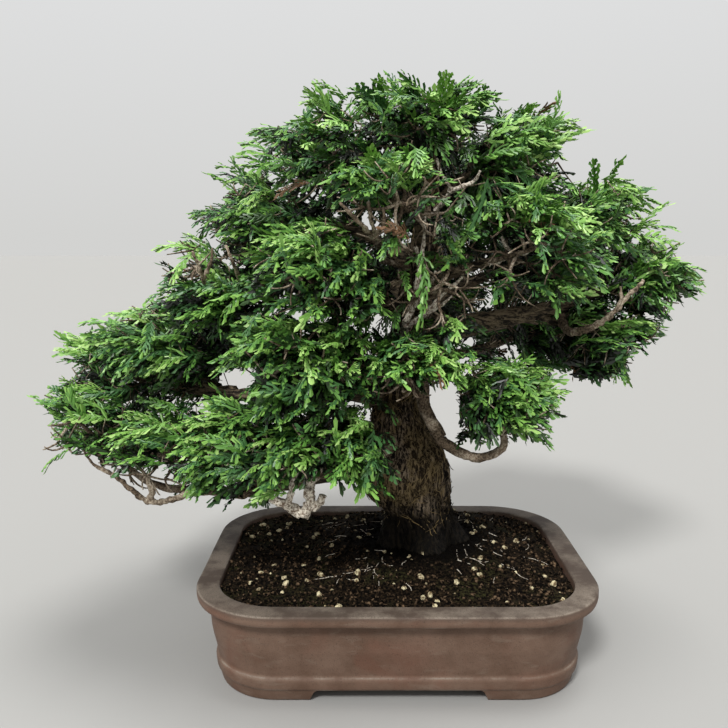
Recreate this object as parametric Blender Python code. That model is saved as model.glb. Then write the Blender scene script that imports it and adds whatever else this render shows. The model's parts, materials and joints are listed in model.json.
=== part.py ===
"""A hinoki cypress bonsai in a rounded rectangular stoneware pot, at its real size.

The frame is in metres with +Z up. The origin is on the ground, under the middle of the
whole plant's box, and the front faces -Y. The plant is a filled pot, a tapered trunk that
runs up through the crown, one tapering bough for each mass of foliage, and the masses.
Each mass is one stem with side twigs and toothed fan-shaped sprays, fused to one body.
"""
import math
import random

import bmesh
import bpy
import numpy as np
from mathutils import Vector
from mathutils.bvhtree import BVHTree

# Driving sizes
MM = 0.001
GAP = 0.3 * MM
TRUNK_FOOT_X = 45.0
TRUNK_FOOT_Y = -16.0

# Pot, measured on the unglazed body
POT_X = TRUNK_FOOT_X - 23.0
POT_Y = TRUNK_FOOT_Y - 19.0
POT_WIDTH = 300.0
POT_DEPTH = 224.0
POT_HEIGHT = 72.0
POT_CORNER = 62.0
CORNER_STEPS = 5
LIP_HEIGHT = 9.0
LIP_OVERHANG = 8.0
RIM_WIDTH = 17.0
BELT_LOW = 10.0
BELT_HIGH = 19.0
BELT_PROUD = 2.2
FOOT_INSET = 15.5
FOOT_WIDTH = 16.0
UNDERSIDE = 11.0
FLOOR_TOP = 19.0
FOOT_GAP_TOP = 9.5
FOOT_GAP_FRONT = 60.0
FOOT_GAP_SIDE = 42.0
FOOT_GAP_SPLAY = 4.0

# Soil, mounded up to the trunk
SOIL_EDGE = 69.0
SOIL_CROWN = 78.0
SOIL_CROWN_RADIUS = 52.0

# Trunk sections: height above the ground, x and y from the trunk's foot, radius
TRUNK_SECTIONS = (
    (78.3, -1, 0, 36.0),
    (88, -2, 0, 32.5),
    (102, -4, -1, 29.5),
    (115, -10, -2, 33.0),
    (128, -15, -3, 37.0),
    (142, -15, -4, 37.0),
    (155, -15, -4, 32.5),
    (166, -18, -3, 26.0),
    (182, -21, -2, 20.5),
    (207, -19, 0, 18.0),
    (235, -14, 3, 16.5),
    (268, -9, 4, 14.5),
    (305, -3, 3, 12.0),
    (341, 1, 1, 8.5),
    (380, 4, 0, 5.5),
    (398, 5, 0, 3.5),
)
TRUNK_SIDES = 12
ROOT_RIDGES = 5
ROOT_RIDGE_SHARE = 0.14
ROOT_RIDGE_FADE = 14.0
ROOT_RIDGE_TURN = 0.5

# Boughs
BOUGH_SIDES = 6
BOUGH_STEP = 34.0
BOUGH_STOP = 0.62
BOUGH_TIP_MARGIN = 5.0

# Twigs and sprays
STEM_RADIUS = 2.4
STEM_TIP_RADIUS = 1.7
STEM_RUN = 5.0
STEM_STEP = 22.0
STEM_BEYOND = 0.35
WOOD_PROUD = 0.9
TWIG_RADIUS = 1.9
TWIG_TIP_RADIUS = 1.5
TWIG_REACH = 0.42
TWIG_SHORTEST = 9.0
TWIG_SHARES = (1.0, 0.8, 0.6)
TWIG_MARGIN = 3.0
TWIGS = 4
SPRAY_LENGTH = 62.0
SPRAY_LONGEST = 72.0
SPRAY_SHORTEST = 26.0
SPRAY_THICKNESS = 0.055
SPRAY_SINK = 0.4
SPRAY_PROUD = 1.16
SPRAY_LAPS = 4
SPRAY_REACHES = (1.0, 0.86, 0.72, 0.58)
SPRAY_FORMS = ((50, 1.0), (-35, 1.0), (75, 1.0), (-65, 1.0), (20, 0.9), (60, 0.6), (-40, 0.6))
SEATS_TRIED = 6
ROOT_SPACING = 4.0
CLEAR_RUN = 9.0
GOLDEN_ANGLE = math.radians(137.508)
FLAT_ANGLE = math.radians(0.5)
MASS_MARGIN = 0.7
LIMB_MARGIN = 1.2
SPRAY_LIMB_MARGIN = 2.2

# One spray's outline from its root, as shares of its length: a fan of four teeth
SPRAY_OUTLINE = (
    (0.00, 0.00),
    (0.24, 0.28),
    (0.42, 0.18),
    (0.74, 0.40),
    (0.72, 0.13),
    (1.00, 0.03),
    (0.70, -0.17),
    (0.52, -0.40),
)
SPRAY_MIDDLE = (0.32, 0.0)

# Masses of foliage: centre from the trunk's foot, half sizes, number of sprays
MASSES = {
    "crown_top": ((-2, 0, 406), (74, 66, 44), 15),
    "crown_upper_left": ((-80, -8, 380), (58, 66, 50), 14),
    "crown_upper_right": ((76, 5, 382), (58, 64, 48), 14),
    "crown_front": ((-22, -85, 348), (60, 56, 44), 13),
    "crown_back": ((12, 105, 378), (66, 60, 46), 12),
    "shoulder_left": ((-132, 5, 338), (56, 64, 50), 13),
    "shoulder_right": ((138, 15, 336), (54, 64, 42), 12),
    "left_high": ((-170, -10, 294), (52, 62, 44), 12),
    "left_middle": ((-212, 0, 246), (54, 64, 40), 13),
    "left_tier": ((-256, 12, 216), (46, 56, 38), 11),
    "left_far": ((-268, -25, 178), (54, 58, 42), 13),
    "left_low": ((-208, -45, 162), (54, 56, 38), 12),
    "left_low_inner": ((-142, -65, 172), (52, 54, 42), 12),
    "front_low": ((-84, -92, 176), (54, 50, 40), 12),
    "front_left": ((-92, -90, 242), (60, 56, 46), 14),
    "front_middle": ((-82, -88, 298), (54, 58, 50), 14),
    "front_centre": ((4, -68, 290), (48, 46, 42), 11),
    "front_centre_low": ((-20, -96, 236), (42, 40, 28), 10),
    "right_low": ((56, -50, 204), (54, 50, 38), 11),
    "right_inner": ((72, -62, 318), (54, 58, 48), 13),
    "right_far": ((178, 15, 294), (54, 62, 42), 13),
    "right_under": ((158, 10, 248), (52, 56, 40), 12),
    "back_left": ((-112, 112, 318), (66, 62, 48), 13),
    "back_right": ((122, 112, 312), (62, 60, 46), 13),
    "back_centre": ((12, 128, 288), (54, 54, 44), 11),
    "back_left_low": ((-200, 100, 218), (60, 58, 42), 12),
    "back_middle_low": ((-102, 98, 204), (52, 54, 38), 11),
    "back_right_low": ((112, 106, 238), (54, 54, 36), 11),
}

# Boughs, each named for the mass it carries: the limb it grows from, how far along that
# limb, the points it passes from the trunk's foot, and its radius at root and tip.
# The bough round the gap on the right is split at its bend and goes on end to end.
BOUGHS = {
    "left_middle": ("trunk", 0.38, ((-98, -14, 207), (-157, -14, 203)), 8.5, 4.0),
    "left_high": ("left_middle", 0.45, ((-128, -13, 232), (-146, -12, 258)), 4.6, 2.6),
    "left_tier": ("left_middle", 0.75, ((-205, 2, 206), (-228, 8, 210)), 4.2, 2.4),
    "left_low": ("trunk", 0.22, ((-80, -34, 142), (-148, -48, 132)), 8.0, 3.6),
    "left_far": ("left_low", 0.74, ((-200, -42, 134), (-232, -36, 148)), 3.8, 2.2),
    "left_low_inner": ("left_low", 0.47, ((-128, -56, 142),), 4.0, 2.4),
    "front_low": ("trunk", 0.27, ((-46, -54, 158),), 5.5, 3.0),
    "front_left": ("trunk", 0.47, ((-48, -46, 232),), 5.5, 3.0),
    "front_middle": ("trunk", 0.58, ((-38, -42, 280),), 5.0, 2.8),
    "front_centre": ("trunk", 0.52, ((-14, -26, 262),), 4.8, 2.8),
    "front_centre_low": ("trunk", 0.43, ((-24, -48, 226),), 4.6, 2.6),
    "right_low_drop": ("trunk", 0.47, ((-6, -40, 228), (-2, -52, 200), (10, -55, 178)), 6.0, 4.6),
    "right_low": ("right_low_drop", 1.0, ((36, -57, 163), (56, -57, 170)), 4.6, 2.8),
    "right_far": ("trunk", 0.53, ((58, 6, 260), (108, 12, 270)), 12.0, 4.0),
    "right_under": ("right_far", 0.55, ((118, 12, 256),), 4.0, 2.4),
    "right_inner": ("trunk", 0.64, ((26, -30, 302),), 5.0, 2.8),
    "shoulder_right": ("trunk", 0.69, ((38, 6, 330), (84, 12, 344)), 5.8, 3.0),
    "shoulder_left": ("trunk", 0.70, ((-56, 6, 332),), 5.6, 3.0),
    "crown_upper_left": ("trunk", 0.82, ((-28, -2, 372),), 4.4, 2.6),
    "crown_upper_right": ("trunk", 0.83, ((32, 3, 374),), 4.4, 2.6),
    "crown_front": ("trunk", 0.75, ((-8, -34, 340),), 4.6, 2.6),
    "crown_back": ("trunk", 0.80, ((6, 42, 362),), 5.0, 2.8),
    "back_left": ("trunk", 0.62, ((-40, 48, 296),), 6.0, 3.0),
    "back_right": ("trunk", 0.60, ((48, 50, 290),), 6.0, 3.0),
    "back_centre": ("trunk", 0.54, ((0, 54, 264),), 5.4, 2.8),
    "back_left_low": ("trunk", 0.42, ((-84, 44, 214), (-142, 76, 212)), 6.8, 3.2),
    "back_middle_low": ("trunk", 0.34, ((-58, 42, 192),), 5.4, 2.8),
    "back_right_low": ("trunk", 0.45, ((46, 50, 228),), 6.0, 3.0),
}

# Finishes: base colour and roughness
STONEWARE = ((0.147, 0.091, 0.067), 0.72)
SOIL = ((0.010, 0.009, 0.006), 0.95)
TRUNK_BARK = ((0.042, 0.034, 0.021), 0.9)
BOUGH_BARK = ((0.105, 0.082, 0.058), 0.88)
FOLIAGE = ((0.052, 0.127, 0.030), 0.6)


def clear_scene():
    for item in list(bpy.data.objects):
        bpy.data.objects.remove(item, do_unlink=True)


def from_foot(x, y, z):
    """Turn millimetres from the trunk's foot into a point of the part's frame."""
    return Vector(((x + TRUNK_FOOT_X) * MM, (y + TRUNK_FOOT_Y) * MM, z * MM))


def finish(name, look):
    colour, roughness = look
    material = bpy.data.materials.new(name)
    material.use_nodes = True
    shader = material.node_tree.nodes["Principled BSDF"]
    shader.inputs["Base Color"].default_value = (*colour, 1.0)
    shader.inputs["Roughness"].default_value = roughness
    shader.inputs["Metallic"].default_value = 0.0
    return material


def add_object(name, mesh):
    item = bpy.data.objects.new(name, mesh)
    bpy.context.scene.collection.objects.link(item)
    return item


def mesh_from_rings(name, rings):
    """Loft closed rings of the same count into one closed body with flat ends."""
    shell = bmesh.new()
    loops = [[shell.verts.new(point) for point in ring] for ring in rings]
    count = len(rings[0])
    for low, high in zip(loops, loops[1:]):
        for k in range(count):
            following = (k + 1) % count
            shell.faces.new((low[k], low[following], high[following], high[k]))
    shell.faces.new(tuple(reversed(loops[0])))
    shell.faces.new(tuple(loops[-1]))
    bmesh.ops.triangulate(shell, faces=shell.faces[:])
    bmesh.ops.recalc_face_normals(shell, faces=shell.faces[:])
    mesh = bpy.data.meshes.new(name)
    shell.to_mesh(mesh)
    shell.free()
    return mesh


def settle_boolean(item, operation, solver, cutter=None, collection=None):
    """Run one Boolean on the object and keep its result as the object's own mesh."""
    step = item.modifiers.new("boolean", "BOOLEAN")
    step.operation = operation
    step.solver = solver
    if collection is None:
        step.object = cutter
    else:
        step.operand_type = "COLLECTION"
        step.collection = collection
    graph = bpy.context.evaluated_depsgraph_get()
    mesh = bpy.data.meshes.new_from_object(item.evaluated_get(graph))
    item.modifiers.clear()
    mesh.name = item.name
    item.data = mesh


def keep_one_body(mesh):
    """Fill any hollow sealed by the fusing and drop any loose scrap."""
    shell = bmesh.new()
    shell.from_mesh(mesh)
    left = set(shell.verts)
    bodies = []
    while left:
        body = [left.pop()]
        for vert in body:
            for edge in vert.link_edges:
                other = edge.other_vert(vert)
                if other in left:
                    left.remove(other)
                    body.append(other)
        bodies.append(body)
    bodies.sort(key=len)
    for body in bodies[:-1]:
        bmesh.ops.delete(shell, geom=body, context="VERTS")
    bmesh.ops.dissolve_limit(
        shell, angle_limit=FLAT_ANGLE, verts=shell.verts[:], edges=shell.edges[:]
    )
    bmesh.ops.triangulate(shell, faces=shell.faces[:])
    shell.to_mesh(mesh)
    shell.free()


def rounded_rectangle(inset, height):
    """One ring of the pot, this far in from the rim's outer edge."""
    half_x = POT_WIDTH / 2 - inset
    half_y = POT_DEPTH / 2 - inset
    corner = max(POT_CORNER - inset, 12.0)
    ring = []
    for quarter, (side_x, side_y) in enumerate(((1, 1), (-1, 1), (-1, -1), (1, -1))):
        for k in range(CORNER_STEPS + 1):
            angle = math.pi / 2 * (quarter + k / CORNER_STEPS)
            x = side_x * (half_x - corner) + corner * math.cos(angle)
            y = side_y * (half_y - corner) + corner * math.sin(angle)
            ring.append(Vector(((POT_X + x) * MM, (POT_Y + y) * MM, height * MM)))
    return ring


def foot_cutter(name, half_gap, length, along_x):
    """A bar that splays downwards and cuts the foot ring between two feet."""
    top, bottom = FOOT_GAP_TOP, -FOOT_GAP_TOP
    wide = half_gap + FOOT_GAP_SPLAY * (top - bottom) / top
    section = ((-wide, bottom), (wide, bottom), (half_gap, top), (-half_gap, top))
    rings = []
    for end in (-length, length):
        ring = [((end, s, z) if along_x else (s, end, z)) for s, z in section]
        rings.append([Vector(((POT_X + x) * MM, (POT_Y + y) * MM, z * MM)) for x, y, z in ring])
    cutter = add_object(name, mesh_from_rings(name, rings))
    cutter.hide_render = True
    cutter.display_type = "WIRE"
    return cutter


def make_pot():
    lip_bottom = POT_HEIGHT - LIP_HEIGHT
    belt = FOOT_INSET - BELT_PROUD
    wall = LIP_OVERHANG + 1.0
    profile = (
        (FOOT_INSET + FOOT_WIDTH + 1.5, UNDERSIDE),
        (FOOT_INSET + FOOT_WIDTH, 0.0),
        (FOOT_INSET + 2.5, 0.0),
        (FOOT_INSET + 0.8, 2.0),
        (FOOT_INSET - 0.8, BELT_LOW - 0.3),
        (belt, BELT_LOW + 1.4),
        (belt - 0.8, BELT_HIGH - 1.6),
        (belt + 1.4, BELT_HIGH + 0.6),
        (wall + 1.4, 40.0),
        (wall, lip_bottom - 2.5),
        (wall - 1.8, lip_bottom - 0.2),
        (1.4, lip_bottom + 0.6),
        (0.0, lip_bottom + 2.4),
        (0.0, POT_HEIGHT - 1.8),
        (1.6, POT_HEIGHT),
        (RIM_WIDTH - 1.4, POT_HEIGHT),
        (RIM_WIDTH, POT_HEIGHT - 1.6),
        (RIM_WIDTH + 3.0, FLOOR_TOP + 6.0),
        (RIM_WIDTH + 9.0, FLOOR_TOP),
    )
    rings = [rounded_rectangle(inset, height) for inset, height in profile]
    pot = add_object("pot", mesh_from_rings("pot", rings))
    for cutter in (
        foot_cutter("front_foot_gap", FOOT_GAP_FRONT, POT_DEPTH, False),
        foot_cutter("side_foot_gap", FOOT_GAP_SIDE, POT_WIDTH, True),
    ):
        settle_boolean(pot, "DIFFERENCE", "EXACT", cutter=cutter)
        bpy.data.objects.remove(cutter, do_unlink=True)
    pot.data.materials.clear()
    pot.data.materials.append(finish("unglazed_stoneware", STONEWARE))
    pot.data.shade_smooth()
    pot.data.set_sharp_from_angle(angle=math.radians(30))


def make_soil():
    """The filling of the pot, with a flat crown under the trunk's foot."""
    clear = GAP / MM
    wall_rings = (
        (RIM_WIDTH + 9.0 + clear, FLOOR_TOP + clear),
        (RIM_WIDTH + 3.0 + clear, FLOOR_TOP + 6.0 + clear),
        (RIM_WIDTH + 0.3 + clear, SOIL_EDGE - 2.5),
        (RIM_WIDTH + 1.2 + clear, SOIL_EDGE),
    )
    rings = [rounded_rectangle(inset, height) for inset, height in wall_rings]
    edge = rings[-1]
    foot = from_foot(0, 0, SOIL_CROWN)
    for share in (0.35, 0.7, 1.0):
        lift = math.sin(share * math.pi / 2)
        ring = []
        for point in edge:
            out = Vector((point.x - foot.x, point.y - foot.y, 0.0)).normalized()
            inner = foot + out * SOIL_CROWN_RADIUS * MM
            spot = point.lerp(inner, share)
            spot.z = (SOIL_EDGE + (SOIL_CROWN - SOIL_EDGE) * lift) * MM
            ring.append(spot)
        rings.append(ring)
    soil = add_object("soil", mesh_from_rings("soil", rings))
    soil.data.materials.append(finish("damp_potting_soil", SOIL))


def trunk_rings(grow=0.0):
    """Level rings of the trunk, with root ridges that fade out above its foot."""
    rings = []
    base = TRUNK_SECTIONS[0][0]
    for height, x, y, radius in TRUNK_SECTIONS:
        fade = ROOT_RIDGE_SHARE * math.exp((base - height) / ROOT_RIDGE_FADE)
        ring = []
        for k in range(TRUNK_SIDES):
            angle = 2 * math.pi * k / TRUNK_SIDES
            reach = radius * (1 + fade * math.cos(ROOT_RIDGES * angle + ROOT_RIDGE_TURN)) + grow
            ring.append(from_foot(x + reach * math.cos(angle), y + reach * math.sin(angle), height))
        rings.append(ring)
    return rings


def smooth_line(points, step):
    """Points along a smooth curve through the given ones, about a step apart."""
    line = []
    for k in range(len(points) - 1):
        before = points[max(k - 1, 0)]
        start, end = points[k], points[k + 1]
        after = points[min(k + 2, len(points) - 1)]
        count = max(1, round((end - start).length / step))
        for j in range(count):
            t = j / count
            line.append(0.5 * (
                2 * start + (end - before) * t
                + (2 * before - 5 * start + 4 * end - after) * t * t
                + (3 * start - before - 3 * end + after) * t * t * t
            ))
    line.append(points[-1].copy())
    return line


def tube_rings(line, radii, sides, grow=0.0):
    """Rings square to a line, turned as little as they can be from one to the next."""
    rings = []
    side = None
    for k, point in enumerate(line):
        ahead = line[min(k + 1, len(line) - 1)] - line[max(k - 1, 0)]
        ahead.normalize()
        if side is None:
            side = ahead.orthogonal().normalized()
        side = (side - ahead * side.dot(ahead)).normalized()
        other = ahead.cross(side)
        reach = radii[k] + grow * MM
        ring = []
        for j in range(sides):
            angle = 2 * math.pi * j / sides
            ring.append(point + (side * math.cos(angle) + other * math.sin(angle)) * reach)
        rings.append(ring)
    return rings


def taper(count, root, tip):
    return [(root + (tip - root) * k / (count - 1)) * MM for k in range(count)]


class Space:
    """The space one mass keeps to: its rounded form, cut by flat faces to its neighbours."""

    def __init__(self, name):
        centre, half, self.sprays = MASSES[name]
        self.centre = from_foot(*centre)
        self.half = Vector(half) * MM
        self.faces = []
        own = self.size()
        for other_name, (other_centre, other_half, _) in MASSES.items():
            if other_name == name:
                continue
            other = from_foot(*other_centre)
            away = other - self.centre
            other_size = sum(other_half) / 3 * MM
            offset = (away.length_squared + own * own - other_size * other_size) / (2 * away.length)
            self.faces.append((away.normalized(), offset))
        self.limbs = None

    def size(self):
        return (self.half.x + self.half.y + self.half.z) / 3

    def inside(self, points, proud, margin=MASS_MARGIN):
        for point in points:
            out = point - self.centre
            if (out.x / self.half.x) ** 2 + (out.y / self.half.y) ** 2 \
                    + (out.z / self.half.z) ** 2 > proud * proud:
                return False
            for normal, offset in self.faces:
                if out.dot(normal) > offset - margin * MM:
                    return False
        return True

    def near_limbs(self, limbs):
        """Keep the pieces of limb that come near this mass, as arrays."""
        starts, ends, radii = [], [], []
        reach = max(self.half) * 1.3
        for line, sizes in limbs.values():
            for k in range(len(line) - 1):
                middle = (line[k] + line[k + 1]) / 2
                if (middle - self.centre).length < reach + (line[k + 1] - line[k]).length:
                    starts.append(line[k])
                    ends.append(line[k + 1])
                    radii.append(max(sizes[k], sizes[k + 1]))
        self.limbs = (np.array(starts), np.array(ends), np.array(radii))

    def clear_of_limbs(self, points, margin):
        starts, ends, radii = self.limbs
        if not len(starts):
            return True
        spots = np.array(points)[:, None, :]
        along = ends - starts
        share = ((spots - starts) * along).sum(2) / (along * along).sum(1)
        share = np.clip(share, 0, 1)[:, :, None]
        distance = np.linalg.norm(starts + share * along - spots, axis=2)
        return bool((distance > radii + margin * MM).all())


def limb_lines(spaces):
    """Work out the centre line and radii of the trunk and of every bough."""
    trunk = [from_foot(x, y, height) for height, x, y, _ in TRUNK_SECTIONS]
    lines = {"trunk": (trunk, [row[3] * MM for row in TRUNK_SECTIONS])}
    for name, (parent, place, passes, root, tip) in BOUGHS.items():
        parent_line = lines[parent][0]
        if place == 1.0:
            ahead = (parent_line[-1] - parent_line[-2]).normalized()
            points = [parent_line[-1] + ahead * GAP, parent_line[-1] + ahead * STEM_RUN * MM]
        else:
            spot = place * (len(parent_line) - 1)
            if parent == "trunk":
                low, high = trunk[0].z, trunk[-1].z
                height = low + place * (high - low)
                spot = next(k for k in range(len(trunk) - 1) if trunk[k + 1].z >= height)
                spot += (height - trunk[spot].z) / (trunk[spot + 1].z - trunk[spot].z)
            k = int(spot)
            points = [parent_line[k].lerp(parent_line[k + 1], spot - k)]
        points += [from_foot(*point) for point in passes]
        if name in MASSES:
            points.append(bough_tip(spaces[name], points[-1]))
        line = smooth_line(points, BOUGH_STEP * MM)
        lines[name] = (line, taper(len(line), root, tip))
    return lines


def bough_tip(space, last):
    """Where a bough from its last bend enters its mass."""
    for k in range(100):
        point = space.centre.lerp(last, k / 100)
        if not space.inside([point], BOUGH_STOP, margin=BOUGH_TIP_MARGIN):
            break
    return space.centre.lerp(last, (k - 1) / 100)


def make_bough(name, lines, bark):
    """One tapering limb, its root cut to the limb that carries it."""
    parent, place = BOUGHS[name][:2]
    line, radii = lines[name]
    bough = add_object(name + "_bough", mesh_from_rings(name, tube_rings(line, radii, BOUGH_SIDES)))
    if place < 1.0:
        grow = GAP / MM
        if parent == "trunk":
            rings = trunk_rings(grow)
        else:
            parent_line, parent_radii = lines[parent]
            rings = tube_rings(parent_line, parent_radii, BOUGH_SIDES, grow)
        cutter = add_object("root_cutter", mesh_from_rings("root_cutter", rings))
        settle_boolean(bough, "DIFFERENCE", "EXACT", cutter=cutter)
        bpy.data.objects.remove(cutter, do_unlink=True)
        keep_one_body(bough.data)
    bough.data.materials.clear()
    bough.data.materials.append(bark)


def spray_points(root, ahead, face, length, width):
    """The outline of one spray and its two middle points, tip and teeth turned up."""
    across = face.cross(ahead) * width
    outline = []
    for x, y in SPRAY_OUTLINE:
        lift = 0.10 * x * x + 0.25 * y * y
        outline.append(root + (ahead * x + across * y + face * lift) * length)
    x, y = SPRAY_MIDDLE
    middle = root + (ahead * x + across * y + face * 0.02) * length
    rise = face * SPRAY_THICKNESS * length / 2
    return outline, middle + rise, middle - rise


def spray_samples(outline, middle):
    """Points over the spray's face, close enough together to feel for a limb."""
    samples = []
    for k, point in enumerate(outline):
        edge = (point + outline[k - 1]) / 2
        for share in (0.25, 0.5, 0.75, 1.0):
            samples.append(middle.lerp(point, share))
            samples.append(middle.lerp(edge, share))
    return samples


def spray_faces(outline):
    """Triangles of one spray, whose points are its outline, then its top and bottom."""
    count = len(outline)
    upper = [((k - 1) % count, k, count) for k in range(count)]
    lower = [(k, (k - 1) % count, count + 1) for k in range(count)]
    return upper + lower


def spray_mesh(points):
    shell = bmesh.new()
    verts = [shell.verts.new(point) for point in points]
    for face in spray_faces(points[:-2]):
        shell.faces.new([verts[k] for k in face])
    bmesh.ops.recalc_face_normals(shell, faces=shell.faces[:])
    mesh = bpy.data.meshes.new("spray")
    shell.to_mesh(mesh)
    shell.free()
    return mesh


class Thicket:
    """What a mass already has, to keep the next spray from crossing it."""

    def __init__(self, wood):
        self.points = []
        self.faces = []
        self.tree = None
        self.count = 0
        points, faces = [], []
        for mesh in wood:
            first = len(points)
            points += [vert.co.copy() for vert in mesh.vertices]
            faces += [tuple(first + k for k in face.vertices) for face in mesh.polygons]
        self.wood = BVHTree.FromPolygons(points, faces)

    def crosses(self, points, heading):
        if self.tree and self.tree.overlap(BVHTree.FromPolygons(points, spray_faces(points[:-2]))):
            return True
        blade = [points[0] + heading] + points[1:]
        return bool(self.wood.overlap(BVHTree.FromPolygons(blade, spray_faces(points[:-2]))))

    def add(self, points):
        first = len(self.points)
        self.count += 1
        self.points += points
        self.faces += [tuple(first + k for k in face) for face in spray_faces(points[:-2])]
        self.tree = BVHTree.FromPolygons(self.points, self.faces)


def spread(count, turn):
    """Directions spread evenly over a ball by the golden angle."""
    aims = []
    for k in range(count):
        level = 1 - 2 * (k + 0.5) / count
        flat = math.sqrt(1 - level * level)
        angle = turn + k * GOLDEN_ANGLE
        aims.append(Vector((flat * math.cos(angle), flat * math.sin(angle), level)))
    return aims


def grow_stem(space, tip, heading):
    """The stem's line, from the bough's tip through the middle of the mass."""
    root = tip + heading * GAP
    beyond = space.centre + (space.centre - root) * STEM_BEYOND
    passes = [root, root + heading * STEM_RUN * MM, space.centre, beyond]
    line = smooth_line(passes, STEM_STEP * MM)
    return line[:2] + [point for point in line[2:] if space.inside([point], WOOD_PROUD)]


def grow_twigs(space, stem, turn):
    """Side twigs, each from the stem point nearest its end."""
    twigs = []
    for aim in spread(TWIGS, turn):
        end = space.centre + Vector(a * b for a, b in zip(aim, space.half)) * TWIG_REACH
        foot = min(stem[1:], key=lambda point: (point - end).length)
        for share in TWIG_SHARES:
            target = foot.lerp(end, share)
            run = [foot.lerp(target, part / 6) for part in range(1, 7)]
            long_enough = (target - foot).length > TWIG_SHORTEST * MM
            if long_enough and space.inside(run, WOOD_PROUD, margin=TWIG_MARGIN) \
                    and space.clear_of_limbs(run, TWIG_RADIUS + LIMB_MARGIN):
                twigs.append((foot, target))
                break
    return twigs


def grow_mass(name, space, tip, heading):
    """Meshes of one mass: its stem first, then its side twigs and their sprays."""
    dice = random.Random("hinoki " + name)
    turn = dice.uniform(0, 2 * math.pi)
    stem = grow_stem(space, tip, heading)
    twigs = grow_twigs(space, stem, turn)
    stem_radii = taper(len(stem), STEM_RADIUS, STEM_TIP_RADIUS)
    meshes = [mesh_from_rings("stem", tube_rings(stem, stem_radii, 3))]
    for foot, target in twigs:
        radii = taper(2, TWIG_RADIUS, TWIG_TIP_RADIUS)
        meshes.append(mesh_from_rings("twig", tube_rings([foot, target], radii, 3)))
    seats = []
    for start, end in list(zip(stem[1:], stem[2:])) + twigs:
        count = max(1, int((end - start).length / (ROOT_SPACING * MM)))
        seats += [start.lerp(end, part / count) for part in range(1, count + 1)]
    thicket = Thicket(meshes)
    aims = [aim for lap in range(SPRAY_LAPS) for aim in spread(space.sprays, turn + 1.0 + lap)]
    for aim in aims:
        if thicket.count == space.sprays:
            break
        spray = grow_spray(space, aim, seats, thicket, dice)
        if spray:
            meshes.append(spray_mesh(spray))
            thicket.add(spray)
    return meshes


def grow_spray(space, aim, seats, thicket, dice):
    """One spray whose tip reaches for the edge of the mass, from a free seat on its twigs."""
    wanted = SPRAY_LENGTH * dice.uniform(0.85, 1.1) * MM
    flip = dice.choice((-1, 1))
    for reach in SPRAY_REACHES:
        tip = space.centre + Vector(a * b for a, b in zip(aim, space.half)) * reach
        if not space.inside([tip], 1.01):
            continue
        by_length = sorted(seats, key=lambda point: abs((tip - point).length - wanted))
        for seat in by_length[:SEATS_TRIED]:
            heading = (tip - seat).normalized()
            length = min((tip - seat).length + SPRAY_SINK * MM, SPRAY_LONGEST * MM)
            if length < SPRAY_SHORTEST * MM:
                continue
            level = heading.cross(Vector((0, 0, 1)))
            if level.length < 0.05:
                level = Vector((1, 0, 0))
            level.normalize()
            upright = level.cross(heading)
            for roll, width in SPRAY_FORMS:
                turn = math.radians(roll * flip)
                face = upright * math.cos(turn) + level * math.sin(turn)
                start = seat - heading * SPRAY_SINK * MM
                outline, top, bottom = spray_points(start, heading, face, length, flip * width)
                points = outline + [top, bottom]
                if not space.inside(points[1:], SPRAY_PROUD):
                    continue
                if thicket.crosses(points, heading * CLEAR_RUN * MM):
                    continue
                if space.clear_of_limbs(spray_samples(outline, top)[2:], SPRAY_LIMB_MARGIN):
                    seats.remove(seat)
                    return points
    return None


def fuse(name, meshes, look):
    """Join a mass's pieces into one body by one union on a collection."""
    body = add_object(name + "_foliage", meshes[0])
    group = bpy.data.collections.new("pieces")
    bpy.context.scene.collection.children.link(group)
    for mesh in meshes[1:]:
        group.objects.link(bpy.data.objects.new("piece", mesh))
    settle_boolean(body, "UNION", "MANIFOLD", collection=group)
    for piece in list(group.objects):
        bpy.data.objects.remove(piece, do_unlink=True)
    bpy.data.collections.remove(group)
    keep_one_body(body.data)
    body.data.materials.clear()
    body.data.materials.append(look)


clear_scene()
make_pot()
make_soil()
trunk_object = add_object("trunk", mesh_from_rings("trunk", trunk_rings()))
trunk_object.data.materials.append(finish("trunk_bark", TRUNK_BARK))
trunk_object.data.shade_smooth()
mass_spaces = {mass: Space(mass) for mass in MASSES}
limbs = limb_lines(mass_spaces)
bough_bark = finish("bough_bark", BOUGH_BARK)
for bough_name in BOUGHS:
    make_bough(bough_name, limbs, bough_bark)
foliage = finish("cypress_foliage", FOLIAGE)
for mass, mass_space in mass_spaces.items():
    carrier = limbs[mass if mass in BOUGHS else "trunk"][0]
    mass_space.near_limbs(limbs)
    direction = (carrier[-1] - carrier[-2]).normalized()
    fuse(mass, grow_mass(mass, mass_space, carrier[-1], direction), foliage)
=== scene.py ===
"""The looks of a hinoki cypress bonsai in a stoneware pot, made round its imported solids."""
import json
import math
import random

import bmesh
import bpy
import numpy as np
from mathutils import Matrix, Vector, noise
from mathutils.kdtree import KDTree

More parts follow.
